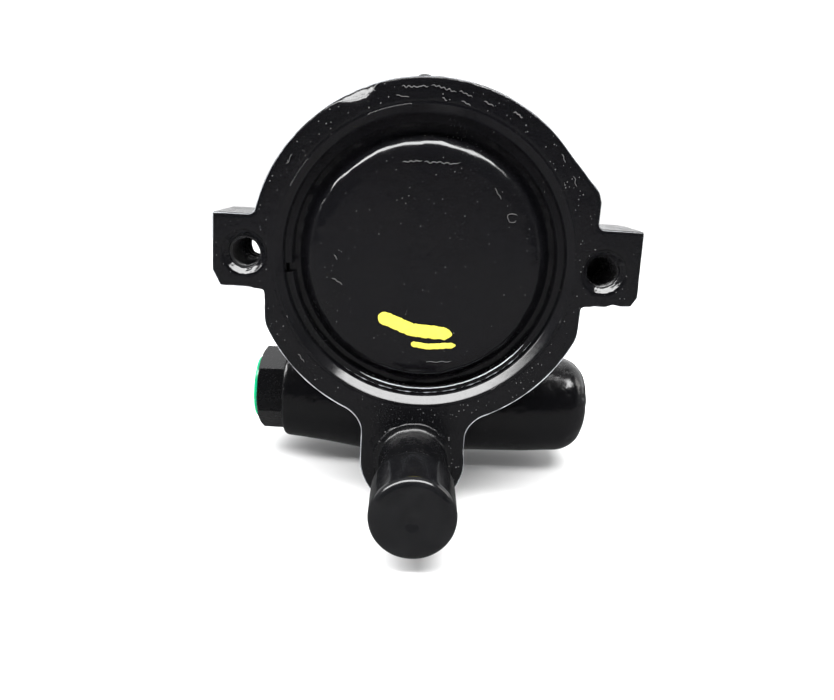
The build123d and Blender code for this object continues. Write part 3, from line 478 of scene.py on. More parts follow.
def paint_material(name, base=(0.0032, 0.0033, 0.0039), rough=0.17, cast=0.05, peel=0.03, pits=1.0, edge=0.0, specks=1.0, spec=0.5):
    """Gloss black enamel: orange peel, casting grain under it, pinholes, settled dust, and pale specks that are painted
    glints.
    """
    m, nt, b, M, ramp, noise_tex, cells, bump, P = shell(name)
    # roughness: large clouds and fine dulling
    cloud = noise_tex(0.045, 3.0, 0.6)
    fine = noise_tex(1.9, 3.0, 0.65)
    r = M("ADD", ramp(cloud, 0.3, 0.7, rough * 0.75, rough * 1.45), ramp(fine, 0.45, 0.8, -0.015, 0.09))
    # dust that settles on level surfaces
    geo = nt.nodes.new("ShaderNodeNewGeometry")
    sep = nt.nodes.new("ShaderNodeSeparateXYZ"); nt.links.new(geo.outputs["Normal"], sep.inputs[0])
    up = ramp(sep.outputs[2], 0.55, 1.0)
    dust = M("MULTIPLY", up, ramp(noise_tex(0.35, 4.0, 0.7), 0.42, 0.75, 0.0, 0.16))
    # painted glints: pale specks, few and uneven, standing in for light caught by pits in the enamel
    v = cells(0.55)
    size = nt.nodes.new("ShaderNodeSeparateColor"); nt.links.new(v.outputs["Color"], size.inputs[0])
    painted_glint_a = M("MULTIPLY", M("LESS_THAN", v.outputs["Distance"], M("MULTIPLY", size.outputs[0], 0.075)), M("GREATER_THAN", size.outputs[1], 0.80))
    v2 = cells(1.6)
    size2 = nt.nodes.new("ShaderNodeSeparateColor"); nt.links.new(v2.outputs["Color"], size2.inputs[0])
    painted_glint_b = M("MULTIPLY", M("LESS_THAN", v2.outputs["Distance"], M("MULTIPLY", size2.outputs[0], 0.10)), M("GREATER_THAN", size2.outputs[1], 0.88))
    painted_glints = M("MULTIPLY", M("MAXIMUM", painted_glint_a, painted_glint_b), specks, clamp=True)
    # mix to pale grey for the painted glint specks and for the settled dust
    mixc = nt.nodes.new("ShaderNodeMix"); mixc.data_type = "RGBA"
    mixc.inputs[6].default_value = (*base, 1); mixc.inputs[7].default_value = (0.22, 0.215, 0.20, 1)
    nt.links.new(M("ADD", M("MULTIPLY", painted_glints, 0.55), M("MULTIPLY", dust, 0.12), clamp=True), mixc.inputs[0])
    tint = nt.nodes.new("ShaderNodeMix"); tint.data_type = "RGBA"; tint.blend_type = "MULTIPLY"; tint.inputs[0].default_value = 1.0
    var = nt.nodes.new("ShaderNodeMix"); var.data_type = "RGBA"
    var.inputs[6].default_value = (0.78, 0.82, 0.92, 1); var.inputs[7].default_value = (1.25, 1.18, 1.10, 1)
    nt.links.new(noise_tex(0.11, 4.0, 0.6), var.inputs[0])
    nt.links.new(mixc.outputs[2], tint.inputs[6]); nt.links.new(var.outputs[2], tint.inputs[7])
    nt.links.new(tint.outputs[2], b.inputs["Base Color"])
    r = M("ADD", r, M("ADD", M("MULTIPLY", dust, 0.8), M("MULTIPLY", painted_glints, 0.3)), clamp=True)
    nt.links.new(r, b.inputs["Roughness"])
    b.inputs["Specular IOR Level"].default_value = spec
    # relief
    n = bevel(nt, edge) if edge else None
    n = bump(noise_tex(0.32, 2.0, 0.55), 1.0, peel * 2.2, n)
    n = bump(noise_tex(1.15, 3.0, 0.6), 1.0, cast, n)
    n = bump(noise_tex(4.2, 2.0, 0.55), 1.0, peel * 0.25, n)
    if pits:
        pit = cells(0.8)
        pc = nt.nodes.new("ShaderNodeSeparateColor"); nt.links.new(pit.outputs["Color"], pc.inputs[0])
        hole = M("MULTIPLY", ramp(pit.outputs["Distance"], 0.05, 0.22, 1.0, 0.0), M("GREATER_THAN", pc.outputs[0], 0.72))
        n = bump(M("SUBTRACT", 1.0, hole), 1.0, 0.10 * pits, n)
        nt.links.new(n, b.inputs["Normal"])
    nt.links.new(n, b.inputs["Normal"])
    return m


def steel_material(name, base, rough, lines=0.4, along="Y", tone=0.12, edge=0.15, rust=0.0, aniso=0.5):
    """Turned or ground steel: rings about the shaft axis or grain, stains and a thin oil film."""
    m, nt, b, M, ramp, noise_tex, cells, bump, P = shell(name)
    st = nt.nodes.new("ShaderNodeMapping")
    st.inputs["Scale"].default_value = {"Y": (0.05, 6.0, 0.05), "X": (6.0, 0.05, 0.05), "N": (1.4, 1.4, 1.4)}[along]
    nt.links.new(P, st.inputs["Vector"])
    line = noise_tex(1.0, 3.0, 0.6, st.outputs[0])
    stain = noise_tex(0.12, 4.0, 0.65)
    col = nt.nodes.new("ShaderNodeMix"); col.data_type = "RGBA"
    col.inputs[6].default_value = tuple(c * (1 - tone * 1.6) for c in base) + (1,)
    col.inputs[7].default_value = tuple(min(1, c * (1 + tone)) for c in base) + (1,)
    nt.links.new(M("ADD", M("MULTIPLY", line, 0.4), M("MULTIPLY", stain, 0.6)), col.inputs[0])
    col2 = nt.nodes.new("ShaderNodeMix"); col2.data_type = "RGBA"; col2.inputs[7].default_value = (0.10, 0.055, 0.03, 1)
    nt.links.new(col.outputs[2], col2.inputs[6])
    nt.links.new(M("MULTIPLY", ramp(noise_tex(0.5, 5.0, 0.7), 0.58, 0.72), rust), col2.inputs[0])
    nt.links.new(col2.outputs[2], b.inputs["Base Color"])
    b.inputs["Metallic"].default_value = 1.0
    nt.links.new(M("ADD", ramp(line, 0.3, 0.7, rough * 0.75, rough * 1.25), ramp(stain, 0.4, 0.7, 0.0, 0.12)), b.inputs["Roughness"])
    b.inputs["Anisotropic"].default_value = aniso if along != "N" else 0.0
    n = bevel(nt, edge) if edge else None
    nt.links.new(bump(line, lines, 0.03, n), b.inputs["Normal"])
    return m


def soft_material(name, base, rough, spec=0.5, dirt=0.25, grain=0.03, edge=0.15, sub=0.0, sub_col=None, coat=0.0):
    m, nt, b, M, ramp, noise_tex, cells, bump, P = shell(name)
    col = nt.nodes.new("ShaderNodeMix"); col.data_type = "RGBA"
    col.inputs[6].default_value = (*base, 1)
    col.inputs[7].default_value = tuple(min(1, c * (1 + dirt) + dirt * 0.02) for c in base) + (1,)
    nt.links.new(ramp(noise_tex(0.25, 5.0, 0.65), 0.35, 0.75), col.inputs[0])
    nt.links.new(col.outputs[2], b.inputs["Base Color"])
    nt.links.new(M("ADD", ramp(noise_tex(0.18, 3.0), 0.3, 0.7, rough * 0.8, rough * 1.25), ramp(noise_tex(3.0, 2.0), 0.55, 0.8, 0.0, 0.08)), b.inputs["Roughness"])
    b.inputs["Specular IOR Level"].default_value = spec
    b.inputs["Coat Weight"].default_value = coat
    b.inputs["Coat Roughness"].default_value = 0.12
    if sub:
        b.inputs["Subsurface Weight"].default_value = sub
        b.inputs["Subsurface Radius"].default_value = (0.4, 1.0, 0.6)
        b.inputs["Subsurface Scale"].default_value = 0.002
    n = bevel(nt, edge) if edge else None
    n = bump(noise_tex(0.6, 3.0), 1.0, grain, n)
    n = bump(noise_tex(5.0, 2.0), 1.0, grain * 0.12, n)
    nt.links.new(n, b.inputs["Normal"])
    return m


def dress(ob, mat):
    ob.data.materials.clear(); ob.data.materials.append(mat)


def add(ob, body, slot, mat, *stands_for):
    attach(ob, body)
    if stands_for:
        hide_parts(*stands_for)
    dress(ob, mat)
    return ob


# ------------------------------------------------------------------ turned shapes, threads, beads
def arc(cx, cy, r, a0, a1, n):
    t = np.radians(np.linspace(a0, a1, n))
    return [(cx + r * math.cos(k), cy + r * math.sin(k)) for k in t]


def fine(points, step):
    """The same open outline with no segment longer than step."""
    out = [points[0]]
    for a, b in zip(points[:-1], points[1:]):
        n = max(1, int(math.ceil(math.hypot(b[0] - a[0], b[1] - a[1]) / step)))
        out += [(a[0] + (b[0] - a[0]) * k / n, a[1] + (b[1] - a[1]) * k / n) for k in range(1, n + 1)]
    return out


def lathe(name, prof, centre=(0.0, 0.0), seg=192, closed=False, wob=None, axis="Y", outward=True):
    """Turns an (r, along) outline. wob(P) gives a push along the normal in mm."""
    pr = np.array(prof, float)
    n = len(pr)
    t = np.linspace(0, 2 * np.pi, seg, endpoint=False)
    R, A = pr[:, 0][:, None], pr[:, 1][:, None]
    if axis == "Y":
        V = np.stack([centre[0] + R * np.cos(t), A + 0 * t, centre[1] + R * np.sin(t)], 2)
    else:
        V = np.stack([A + 0 * t, centre[0] + R * np.cos(t), centre[1] + R * np.sin(t)], 2)
    if wob is not None:
        d = np.gradient(pr, axis=0)
        if closed:
            d = np.roll(pr, -1, 0) - np.roll(pr, 1, 0)
        L = np.maximum(np.hypot(d[:, 0], d[:, 1]), 1e-9)
        nr, na = d[:, 1] / L, -d[:, 0] / L
        if not outward:
            nr, na = -nr, -na
        k = wob(V.reshape(-1, 3)).reshape(n, seg)
        if axis == "Y":
            V[..., 0] += k * nr[:, None] * np.cos(t); V[..., 2] += k * nr[:, None] * np.sin(t); V[..., 1] += k * na[:, None]
        else:
            V[..., 1] += k * nr[:, None] * np.cos(t); V[..., 2] += k * nr[:, None] * np.sin(t); V[..., 0] += k * na[:, None]
    i, j = np.meshgrid(np.arange(n if closed else n - 1), np.arange(seg), indexing="ij")
    a, b = i * seg + j, i * seg + (j + 1) % seg
    c, d = ((i + 1) % n) * seg + (j + 1) % seg, ((i + 1) % n) * seg + j
    Q = np.stack([a, b, c, d], 2).reshape(-1, 4)
    if outward == (axis == "Y"):
        Q = Q[:, ::-1]
    faces = [Q]
    verts = V.reshape(-1, 3)
    if not closed:
        for row, flip in ((0, False), (n - 1, True)):
            if pr[row, 0] < 0.6 and pr[row, 0] > 1e-6:
                pass
    return link(name, verts, faces)


def tube_path(name, pts, r, seg=6, ends=True):
    """A round bead along a path, tapered to nothing at its ends."""
    P = np.array(pts, float)
    T = np.gradient(P, axis=0)
    T /= np.maximum(np.linalg.norm(T, axis=1), 1e-9)[:, None]
    up = np.array([0, 1.0, 0])
    A = np.cross(T, up); A /= np.maximum(np.linalg.norm(A, axis=1), 1e-9)[:, None]
    B = np.cross(T, A)
    t = np.linspace(0, 2 * np.pi, seg, endpoint=False)
    n = len(P)
    taper = np.minimum(1, np.minimum(np.arange(n), np.arange(n)[::-1]) / max(2.0, n * 0.12) + 0.12)
    R = (r if np.ndim(r) else np.full(n, r)) * taper
    V = P[:, None, :] + R[:, None, None] * (np.cos(t)[None, :, None] * A[:, None, :] + np.sin(t)[None, :, None] * B[:, None, :])
    i, j = np.meshgrid(np.arange(n - 1), np.arange(seg), indexing="ij")
    Q = np.stack([i * seg + j, i * seg + (j + 1) % seg, (i + 1) * seg + (j + 1) % seg, (i + 1) * seg + j], 2).reshape(-1, 4)
    return V.reshape(-1, 3), Q


def join(name, parts):
    vs, fs, at = [], [], 0
    for v, f in parts:
        vs.append(v); fs.append(np.asarray(f) + at); at += len(v)
    return link(name, np.concatenate(vs), [np.concatenate(fs)])


def thread(name, c, y0, y1, r_major, r_minor, pitch, seg=56, step=0.13, tip=None, seed=0, rough=0.03, choke=0.0):
    """Internal thread seen from y0, its crests rounded, running out at the far end or closed by a drill cone."""
    ys = np.arange(0, abs(y1 - y0) + step, step)
    sgn = 1.0 if y1 > y0 else -1.0
    t = np.linspace(0, 2 * np.pi, seg, endpoint=False)
    Y, T = np.meshgrid(ys, t, indexing="ij")
    ph = (Y / pitch - T / (2 * np.pi)) % 1.0
    tri = np.abs(ph * 2 - 1)
    prof = np.clip((tri - 0.12) / 0.76, 0, 1)
    prof = prof * prof * (3 - 2 * prof) * 0.6 + prof * 0.4
    R = r_minor + (r_major - r_minor) * prof
    mouth = smooth01(Y, 0.0, 1.0)
    R = R * mouth + (r_major + 0.05) * (1 - mouth)
    R = R - choke * smooth01(Y, abs(y1 - y0) - 4.5, abs(y1 - y0))
    P = np.stack([c[0] + R * np.cos(T), y0 + sgn * Y, c[1] + R * np.sin(T)], 2).reshape(-1, 3)
    k = rough * noise(P, 0.9, seed) + rough * 0.7 * noise(P, 2.3, seed + 3)
    R = R - np.abs(k.reshape(R.shape))
    V = np.stack([c[0] + R * np.cos(T), y0 + sgn * Y, c[1] + R * np.sin(T)], 2)
    n = len(ys)
    if tip is not None:
        far = [V]
        for q in (0.66, 0.33, 0.01):
            far.append(np.stack([c[0] + r_minor * q * np.cos(t), np.full(seg, y1 + (tip - y1) * (1 - q)), c[1] + r_minor * q * np.sin(t)], 1)[None])
        V = np.concatenate(far); n = len(V)
    i, j = np.meshgrid(np.arange(n - 1), np.arange(seg), indexing="ij")
    Q = np.stack([i * seg + j, i * seg + (j + 1) % seg, (i + 1) * seg + (j + 1) % seg, (i + 1) * seg + j], 2).reshape(-1, 4)
    if sgn < 0:
        Q = Q[:, ::-1]
    return link(name, V.reshape(-1, 3), [Q])


def zigzag(a, b, n, amp, seed, y):
    """A wrinkle in the paint: jittered polyline from a to b in the plane at y, smoothed."""
    g = np.random.default_rng(seed)
    t = np.linspace(0, 1, n)
    P = np.outer(1 - t, a) + np.outer(t, b)
    d = np.array(b, float) - a
    nrm = np.array([-d[1], d[0]]) / max(np.hypot(*d), 1e-9)
    j = g.uniform(-1, 1, n) * amp
    j[1::2] = np.abs(j[1::2]) ; j[::2] = -np.abs(j[::2])
    P = P + np.outer(j, nrm) + g.uniform(-0.12, 0.12, (n, 2))
    s = np.linspace(0, n - 1, (n - 1) * 4 + 1)
    X, Z = np.interp(s, np.arange(n), P[:, 0]), np.interp(s, np.arange(n), P[:, 1])
    X[1:-1] = (X[:-2] + 2 * X[1:-1] + X[2:]) / 4; Z[1:-1] = (Z[:-2] + 2 * Z[1:-1] + Z[2:]) / 4
    return np.stack([X, np.full(len(X), y), Z], 1)


def blob(c, r, flat, seed, axis=1):
    """A small uneven bead of paint, part sunk in the surface it sits on."""
    g = np.random.default_rng(seed)
    u = np.linspace(0, np.pi, 6); v = np.linspace(0, 2 * np.pi, 9, endpoint=False)
    U, W = np.meshgrid(u, v, indexing="ij")
    k = r * (1 + 0.25 * g.uniform(-1, 1, U.shape)); k[0] = r; k[-1] = r
    D = [np.sin(U) * np.cos(W) * k, np.cos(U) * k, np.sin(U) * np.sin(W) * k]
    D[axis] = D[axis] * flat
    V = np.stack([c[0] + D[0], c[1] + D[1], c[2] + D[2]], 2).reshape(-1, 3)
    i, j = np.meshgrid(np.arange(5), np.arange(9), indexing="ij")
    Q = np.stack([i * 9 + j, i * 9 + (j + 1) % 9, (i + 1) * 9 + (j + 1) % 9, (i + 1) * 9 + j], 2).reshape(-1, 4)
    return V, Q


# ================================================================== build
place_camera()
studio()

MAT = {
    "cast_paint": paint_material("cast_paint", rough=0.17, cast=0.045, peel=0.035, pits=0.6),
    "cover_paint": paint_material("cover_paint", rough=0.15, cast=0.012, peel=0.02, pits=0.15, specks=0.7),
    "bore_paint": paint_material("bore_paint", rough=0.13, cast=0.004, peel=0.008, pits=0.0, specks=0.4),
    # threads take a lighter grey than the enamel: painted light, lifting the shade inside the tapped holes
    "thread_paint": paint_material("thread_paint", base=(0.014, 0.014, 0.015), rough=0.24, cast=0.02, peel=0.03, pits=0.0),
    "ring_paint": paint_material("ring_paint", rough=0.16, cast=0.01, peel=0.02, pits=0.0, edge=0.12),
    "tube_paint": paint_material("tube_paint", base=(0.0026, 0.0027, 0.0032), rough=0.20, cast=0.02, peel=0.03, pits=0.2, edge=0.15),
    "fitting_paint": paint_material("fitting_paint", rough=0.2, cast=0.015, peel=0.03, pits=0.2, edge=0.3),
    "shaft_steel": steel_material("shaft_steel", (0.42, 0.42, 0.43), 0.26, 0.35, "Y", edge=0.25, rust=0.07),
    "ground_steel": steel_material("ground_steel", (0.5, 0.5, 0.51), 0.22, 0.2, "N", edge=0.12),
    "sintered_steel": steel_material("sintered_steel", (0.36, 0.35, 0.35), 0.36, 0.5, "N", edge=0.15),
    "spring_steel": steel_material("spring_steel", (0.30, 0.30, 0.31), 0.3, 0.3, "N", edge=0.0),
    "bronze": steel_material("bronze", (0.55, 0.38, 0.20), 0.3, 0.3, "Y", edge=0.15),
    "seal_case": steel_material("seal_case", (0.38, 0.38, 0.40), 0.33, 0.35, "Y", edge=0.2, rust=0.12),
    "rubber": soft_material("rubber", (0.02, 0.02, 0.021), 0.5, 0.4),
    "vinyl_cap": soft_material("vinyl_cap", (0.0040, 0.0041, 0.0047), 0.17, 0.5, 0.12, 0.012, 0.0),
    "green_plastic": soft_material("green_plastic", (0.0, 0.36, 0.17), 0.26, 0.5, 0.25, 0.02, 0.25, sub=0.55),
}

# every CAD node takes its slot's finish
for s in frame["record"]["subparts"]:
    n = s["node"]
    if n in NODES and s["material_slot"] in MAT:
        dress(NODES[n], MAT[s["material_slot"]])

# ---- the casting
h = 0.62
P, Q, N = surface_net(casting_full, (-59.5, -81.5, -74.5), (59.5, 5.5, 51.0), h)
rad = np.hypot(P[:, 0], P[:, 2])
rv = np.hypot(P[:, 1] - Y_V, P[:, 2] - Z_V)
bored = (rad < 38.9) & (P[:, 1] < -25.5) | (rad < 40.6) & (P[:, 1] < -77.5)
front = (P[:, 1] > -0.3) & (N[:, 1] > 0.7) | (rad < R_PILOT + 0.3) & (P[:, 1] > -0.5)
hole = (np.hypot(np.abs(P[:, 0]) - EAR, P[:, 2]) < 5.6) & (P[:, 1] < -50) | (rv < 11.5) & (P[:, 0] < XV0 + 3) & (N[:, 0] > -0.8) | (rv < 11.3) & (P[:, 0] < 50)
rearface = (N[:, 1] < -0.85) & (P[:, 1] < Y_REAR + 0.6)
dome = smooth01(P[:, 0], 44.0, 52.0) * (rv < 16)
neckish = smooth01(-P[:, 2], 44.0, 52.0) * (P[:, 1] < Y_REAR + 24)
amp = 0.16 + 0.12 * dome
grain = 0.55 * noise(P, 2.1, 1) + 0.45 * noise(P, 4.6, 2)
sag = noise(P, 16.0, 5)
pit = smooth01(noise(P, 1.9, 9), 0.42, 0.85)
push = amp * (grain - 1.0) * 0.5 + 0.05 * (sag - 1)
push = push - pit * (0.10 + 0.10 * neckish + 0.08 * dome)
flat = np.where(rearface, 0.30, 1.0)
push = np.where(bored | hole | front, 0.0, push * flat)
push = np.where((rad < 40.55) & (P[:, 1] < -71.9) & (rad > 37.0), -0.30, push)
P = P + N * push[:, None]
skin = link("housing_skin", P, Q)
add(skin, "pump_body", "cast_paint", MAT["cast_paint"], "housing")

# turned mouth of the bore: lead-in, ring groove and land
G0b = G0 + 2.2
prof = [(40.75, Y_REAR - 0.012), (40.12, Y_REAR - 0.015), *arc(40.12, Y_REAR + 0.13, 0.145, -90, -135, 4), (38.05, Y_REAR + 1.93), (37.97, Y_REAR + 2.1), (37.96, G0 - 0.12), (38.08, G0),
        (39.56, G0), (39.56, G0b), (38.02, G0b), (37.97, G0b + 0.1), (37.97, Y_REAR + 8.2)]
mouth = lathe("bore_mouth", fine(prof, 0.45)[::-1], seg=320, wob=lambda V: 0.006 * noise(V, 6.0, 4), outward=True)
add(mouth, "pump_body", "cast_paint", MAT["bore_paint"])

# ---- end cover: flat plateau with a soft shoulder and sunk step
pl = [(0.02, -79.70)] + [(r, -79.70) for r in np.arange(0.8, 28.3, 0.8)]
sh = math.degrees(math.atan2(5.2, 1.9))
arc1 = arc(28.35, -75.25, 4.45, -90, -22, 16)
prof = pl + arc1[1:] + [(32.95, -75.9), (33.3, -75.3), (33.55, -74.75), (34.1, -74.5)] + [(r, -74.5) for r in (35.0, 36.0, 37.0)] + [(37.35, -74.5), (37.93, -73.92), (37.93, -69.0), (36.95, -68.02), (25.0, -68.02), (13.5, -68.02),
                                                                                            (12.6, -69.38), (6.0, -69.38), (0.02, -69.38)]


def cover_wob(V):
    r = np.hypot(V[:, 0], V[:, 2])
    top = V[:, 1] < -74.0
    dish = -0.055 * (1 - smooth01(r, 3.0, 24.0))
    ripple = 0.022 * noise(V, 5.5, 3) + 0.010 * noise(V, 1.8, 6) + 0.035 * noise(V, 14.0, 8) * smooth01(r, 10, 30)
    centre = 0.035 * noise(V, 1.2, 12) * (1 - smooth01(r, 4.0, 9.5))
    edge = smooth01(r, 26.5, 29.5) * (0.12 * noise(V, 4.6, 15) + 0.07 * noise(V, 2.0, 16) - 0.12)
    return np.where(top, np.maximum(0.03 - dish - ripple - centre - edge, 0.0), 0.0)


cover = lathe("end_cover_skin", fine(prof, 0.8), seg=288, wob=cover_wob, outward=False)
add(cover, "pump_body", "cover_paint", MAT["cover_paint"], "end_cover")

# ---- sprung ring: painted highlight, a pale grey bead along the lower inner edge standing in for the reflection of the ceiling light
t = np.radians(np.linspace(243, 323, 150))
rr = 36.30 + 0.025 * np.sin(t * 41.0) + 0.02 * np.sin(t * 97.0)
ring_highlight_bead = tube_path("ring_edge", np.stack([rr * np.cos(t), np.full(150, -76.64), rr * np.sin(t)], 1), 0.11 + 0.05 * np.abs(np.sin(t * 63.0)))
o = join("ring_edge_painted_highlight", [ring_highlight_bead])
MAT["worn_edge"] = soft_material("worn_edge", (0.60, 0.62, 0.65), 0.38, 0.5, 0.3, 0.01, 0.0)
add(o, "pump_body", "ring_paint", MAT["worn_edge"])

# ---- painted highlight: a thin pale line along the rim's outer edge, standing in for the edge's reflection, wider towards the bottom and the ear ends
t = np.linspace(0, 2 * np.pi, 5200)
rr = np.full(t.shape, 76.0)
for _ in range(90):
    rr = rr - 0.55 * (outline(rr * np.cos(t), rr * np.sin(t)) + 0.34)
E = np.stack([rr * np.cos(t), np.full(t.shape, Y_REAR + 0.10), rr * np.sin(t)], 1)
seg = np.r_[0, np.cumsum(np.linalg.norm(np.diff(E, axis=0), axis=1))]
s = np.arange(0, seg[-1], 0.28)
E = np.stack([np.interp(s, seg, E[:, k]) for k in range(3)], 1)
wide = 0.075 + 0.055 * noise(E, 7.0, 51) + 0.03 * noise(E, 1.7, 52)
wide = wide * (0.75 + 0.45 * smooth01(-E[:, 2], 20.0, 45.0) + 0.25 * smooth01(np.abs(E[:, 0]), 45.0, 50.0))
o = join("rim_edge_painted_highlight", [tube_path("w", E, np.maximum(wide, 0.012))])
# painted highlight: a second thin pale line on the ring face at the bottom of the bore
t = np.radians(np.linspace(236, 326, 260))
rr = 37.55 + 0.02 * np.sin(t * 53.0)
lip = tube_path("w", np.stack([rr * np.cos(t), np.full(260, -76.69), rr * np.sin(t)], 1), np.maximum(0.06 * np.sin(t * 37.0) + 0.05 * np.sin(t * 91.0) + 0.035, 0.006))
MAT["thin_paint"] = soft_material("thin_paint", (0.30, 0.31, 0.33), 0.30, 0.5, 0.4, 0.01, 0.0)
add(o, "pump_body", "cast_paint", MAT["thin_paint"])
add(join("ring_face_painted_highlight", [lip]), "pump_body", "ring_paint", MAT["thin_paint"])

# ---- cap: rounded nose with a gate dimple, a faintly uneven surface and a rolled lip
y0 = Y_REAR - 35.5
prof = [(0.02, y0 + 1.02), (0.5, y0 + 1.0), (1.0, y0 + 0.93), (1.7, y0 + 0.64), (2.4, y0 + 0.32), (3.1, y0 + 0.12), (3.9, y0 + 0.07), (5.0, y0 + 0.135), (7.0, y0 + 0.26)]
prof += arc(8.72, y0 + 2.66, 2.3, -86.4, -2, 14)
prof += [(11.06, y0 + 15.4), (11.05, y0 + 16.0), (10.98, y0 + 16.8), (10.75, y0 + 17.2), (10.3, y0 + 17.3), (9.9, y0 + 17.2), (9.56, y0 + 16.9), (9.54, y0 + 16.4), (9.54, -109.0), (8.0, -111.6), (5.2, -113.0), (0.02, -113.1)]
cap = lathe("inlet_cap_skin", fine(prof, 0.7), (0.0, Z_IN), 160,
            wob=lambda V: np.where(np.hypot(V[:, 0], V[:, 2] - Z_IN) > 9.6, np.maximum(0.035 * noise(V, 4.0, 21) + 0.012 * noise(V, 1.4, 22) + 0.04, 0), 0.0), outward=False)
add(cap, "inlet_cap_body", "vinyl_cap", MAT["vinyl_cap"], "inlet_cap")

# ---- brazed fillet where the tube enters the neck
bead = [(9.49, -82.0), (9.62, -81.3), (9.9, -80.75), (10.4, -80.35), (11.1, -80.1), (11.9, -79.9), (11.2, -79.6), (9.6, -79.5)]
g = lathe("tube_braze", bead[::-1], (0.0, Z_IN), 128, wob=lambda V: 0.16 * noise(V, 2.2, 31) + 0.10 * noise(V, 5.0, 32), outward=True)
add(g, "pump_body", "tube_paint", MAT["tube_paint"])

# ---- threads
for nm, cx, end, tip, sd in (("ear_thread_left_skin", -EAR, -58.05, None, 1), ("ear_thread_right_skin", EAR, -63.0, -60.7, 2)):
    t = thread(nm, (cx, 0.0), -78.9, end, 4.75, 4.12 if sd == 2 else 3.75, 1.5, tip=tip, seed=sd, rough=0.12, choke=0.0 if sd == 2 else 0.85)
    add(t, "pump_body", "cast_paint", MAT["thread_paint"])
    cone = [(5.93, -79.99), (5.8, -79.97), (5.66, -79.88), (4.42, -78.74), (4.3, -78.55), (4.27, -78.1)]
    t = lathe("ear_mouth_%d" % sd, fine(cone, 0.16)[::-1], (cx, 0.0), 144, wob=lambda V: 0.045 * noise(V, 0.8, 61) + 0.03 * noise(V, 0.42, 62), outward=True)
    add(t, "pump_body", "cast_paint", MAT["bore_paint"])
for i, (bx, bz) in enumerate(BOSS):
    t = thread("boss_thread_%d" % (i + 1), (bx, bz), -0.06, -20.0, 4.03, 3.45, 1.25, tip=-21.6, seed=5 + i, rough=0.02)
    add(t, "pump_body", "cast_paint", MAT["shaft_steel"])
t = thread("puller_thread_skin", (0.0, 0.0), 43.0, 20.1, 4.235, 3.75, 1.5, seed=9, rough=0.01)
add(t, "rotating_group", "shaft_steel", MAT["shaft_steel"])

# ---- wrinkles, runs and beads in the paint; their pale grey colour is a painted glint
W = []
YR = Y_REAR - 0.02
for a, b, n, amp, sd, r in (
        ((-8.4, 43.7), (-1.6, 44.1), 12, 0.42, 1, 0.11), ((-1.0, 44.6), (5.4, 43.2), 11, 0.42, 2, 0.12), ((6.2, 43.6), (9.6, 42.3), 7, 0.35, 3, 0.10),
        ((12.6, 41.6), (15.0, 40.2), 5, 0.3, 4, 0.11), ((20.2, 39.3), (22.6, 38.0), 6, 0.35, 5, 0.15), ((-9.8, 41.6), (-6.4, 41.5), 5, 0.2, 6, 0.08),
        ((2.0, 41.6), (3.2, 41.0), 4, 0.3, 7, 0.10), ((6.8, 41.2), (9.4, 40.2), 5, 0.3, 8, 0.10), ((33.5, 29.8), (34.6, 27.6), 5, 0.3, 9, 0.10),
        ((37.2, 24.6), (38.0, 21.8), 4, 0.3, 10, 0.09), ((-35.5, 26.0), (-37.0, 23.4), 5, 0.25, 11, 0.08), ((-33.4, -27.2), (-31.6, -29.4), 5, 0.3, 12, 0.08)):
    W.append(tube_path("w", zigzag(a, b, n, amp, sd, YR), r))
g = np.random.default_rng(77)
for k in range(150):
    a = g.uniform(0, 360); r = g.uniform(41.2, 45.6)
    x, z = r * math.cos(math.radians(a)), r * math.sin(math.radians(a))
    W.append(blob((x, Y_REAR + 0.01, z), g.uniform(0.06, 0.17), 0.8, 500 + k))
for k in range(70):
    x, z = g.uniform(-13.5, 13.5), g.uniform(-71.0, -48.5)
    if math.hypot(x, z - Z_IN) < 10.6 or math.hypot(x + 0.3, z - Z_IN) > 14.4 and z < Z_IN or math.hypot(x, z) < 41.5:
        continue
    x = x if g.random() < 0.35 else abs(x)
    W.append(blob((x, Y_REAR + 0.01, z), g.uniform(0.07, 0.24), 0.85, 700 + k))
for sx in (-1, 1):
    for k in range(16):
        x, z = sx * g.uniform(48, 55.5), g.uniform(-7.5, 8.5)
        if math.hypot(abs(x) - EAR, z) < 5.9:
            continue
        W.append(blob((x, Y_REAR + 0.01, z), g.uniform(0.06, 0.14), 0.8, 900 + k + 50 * sx))
o = join("paint_wrinkles", W)
# pale grey base, lighter than the enamel: a painted glint on the raised paint
MAT["raised_paint"] = paint_material("raised_paint", base=(0.085, 0.085, 0.086), rough=0.30, cast=0.02, peel=0.03, pits=0.0, specks=1.0)
add(o, "pump_body", "cast_paint", MAT["raised_paint"])

W = []
YC = -79.73
for a, b, n, amp, sd, r in (((-7.4, 25.6), (-2.2, 26.0), 8, 0.30, 21, 0.10), ((-1.8, 25.9), (7.6, 25.9), 12, 0.36, 22, 0.10), ((17.0, 20.5), (19.0, 17.6), 5, 0.25, 23, 0.08),
                            ((-24.2, 0.8), (-23.4, -0.6), 4, 0.3, 24, 0.08), ((-24.6, -5.6), (-21.8, -7.0), 5, 0.3, 25, 0.09), ((2.0, -27.5), (9.0, -27.0), 6, 0.3, 26, 0.07)):
    W.append(tube_path("w", zigzag(a, b, n, amp, sd, YC), r))
t = np.linspace(0.5, 6.0, 26)
W.append(tube_path("w", np.stack([22.3 + (1.25 + 0.22 * np.sin(3 * t)) * np.cos(t), np.full(26, YC), 12.9 + (1.3 + 0.2 * np.cos(2 * t)) * np.sin(t)], 1), 0.085))
for k in range(90):
    r, a = 29.5 * math.sqrt(g.random()), g.uniform(0, 2 * math.pi)
    W.append(blob((r * math.cos(a), -79.69, r * math.sin(a)), g.uniform(0.05, 0.13), 0.6, 1200 + k))
# the cover's beads of paint take the same painted-glint grey
o = join("cover_paint_beads", W)
add(o, "pump_body", "cover_paint", MAT["raised_paint"])

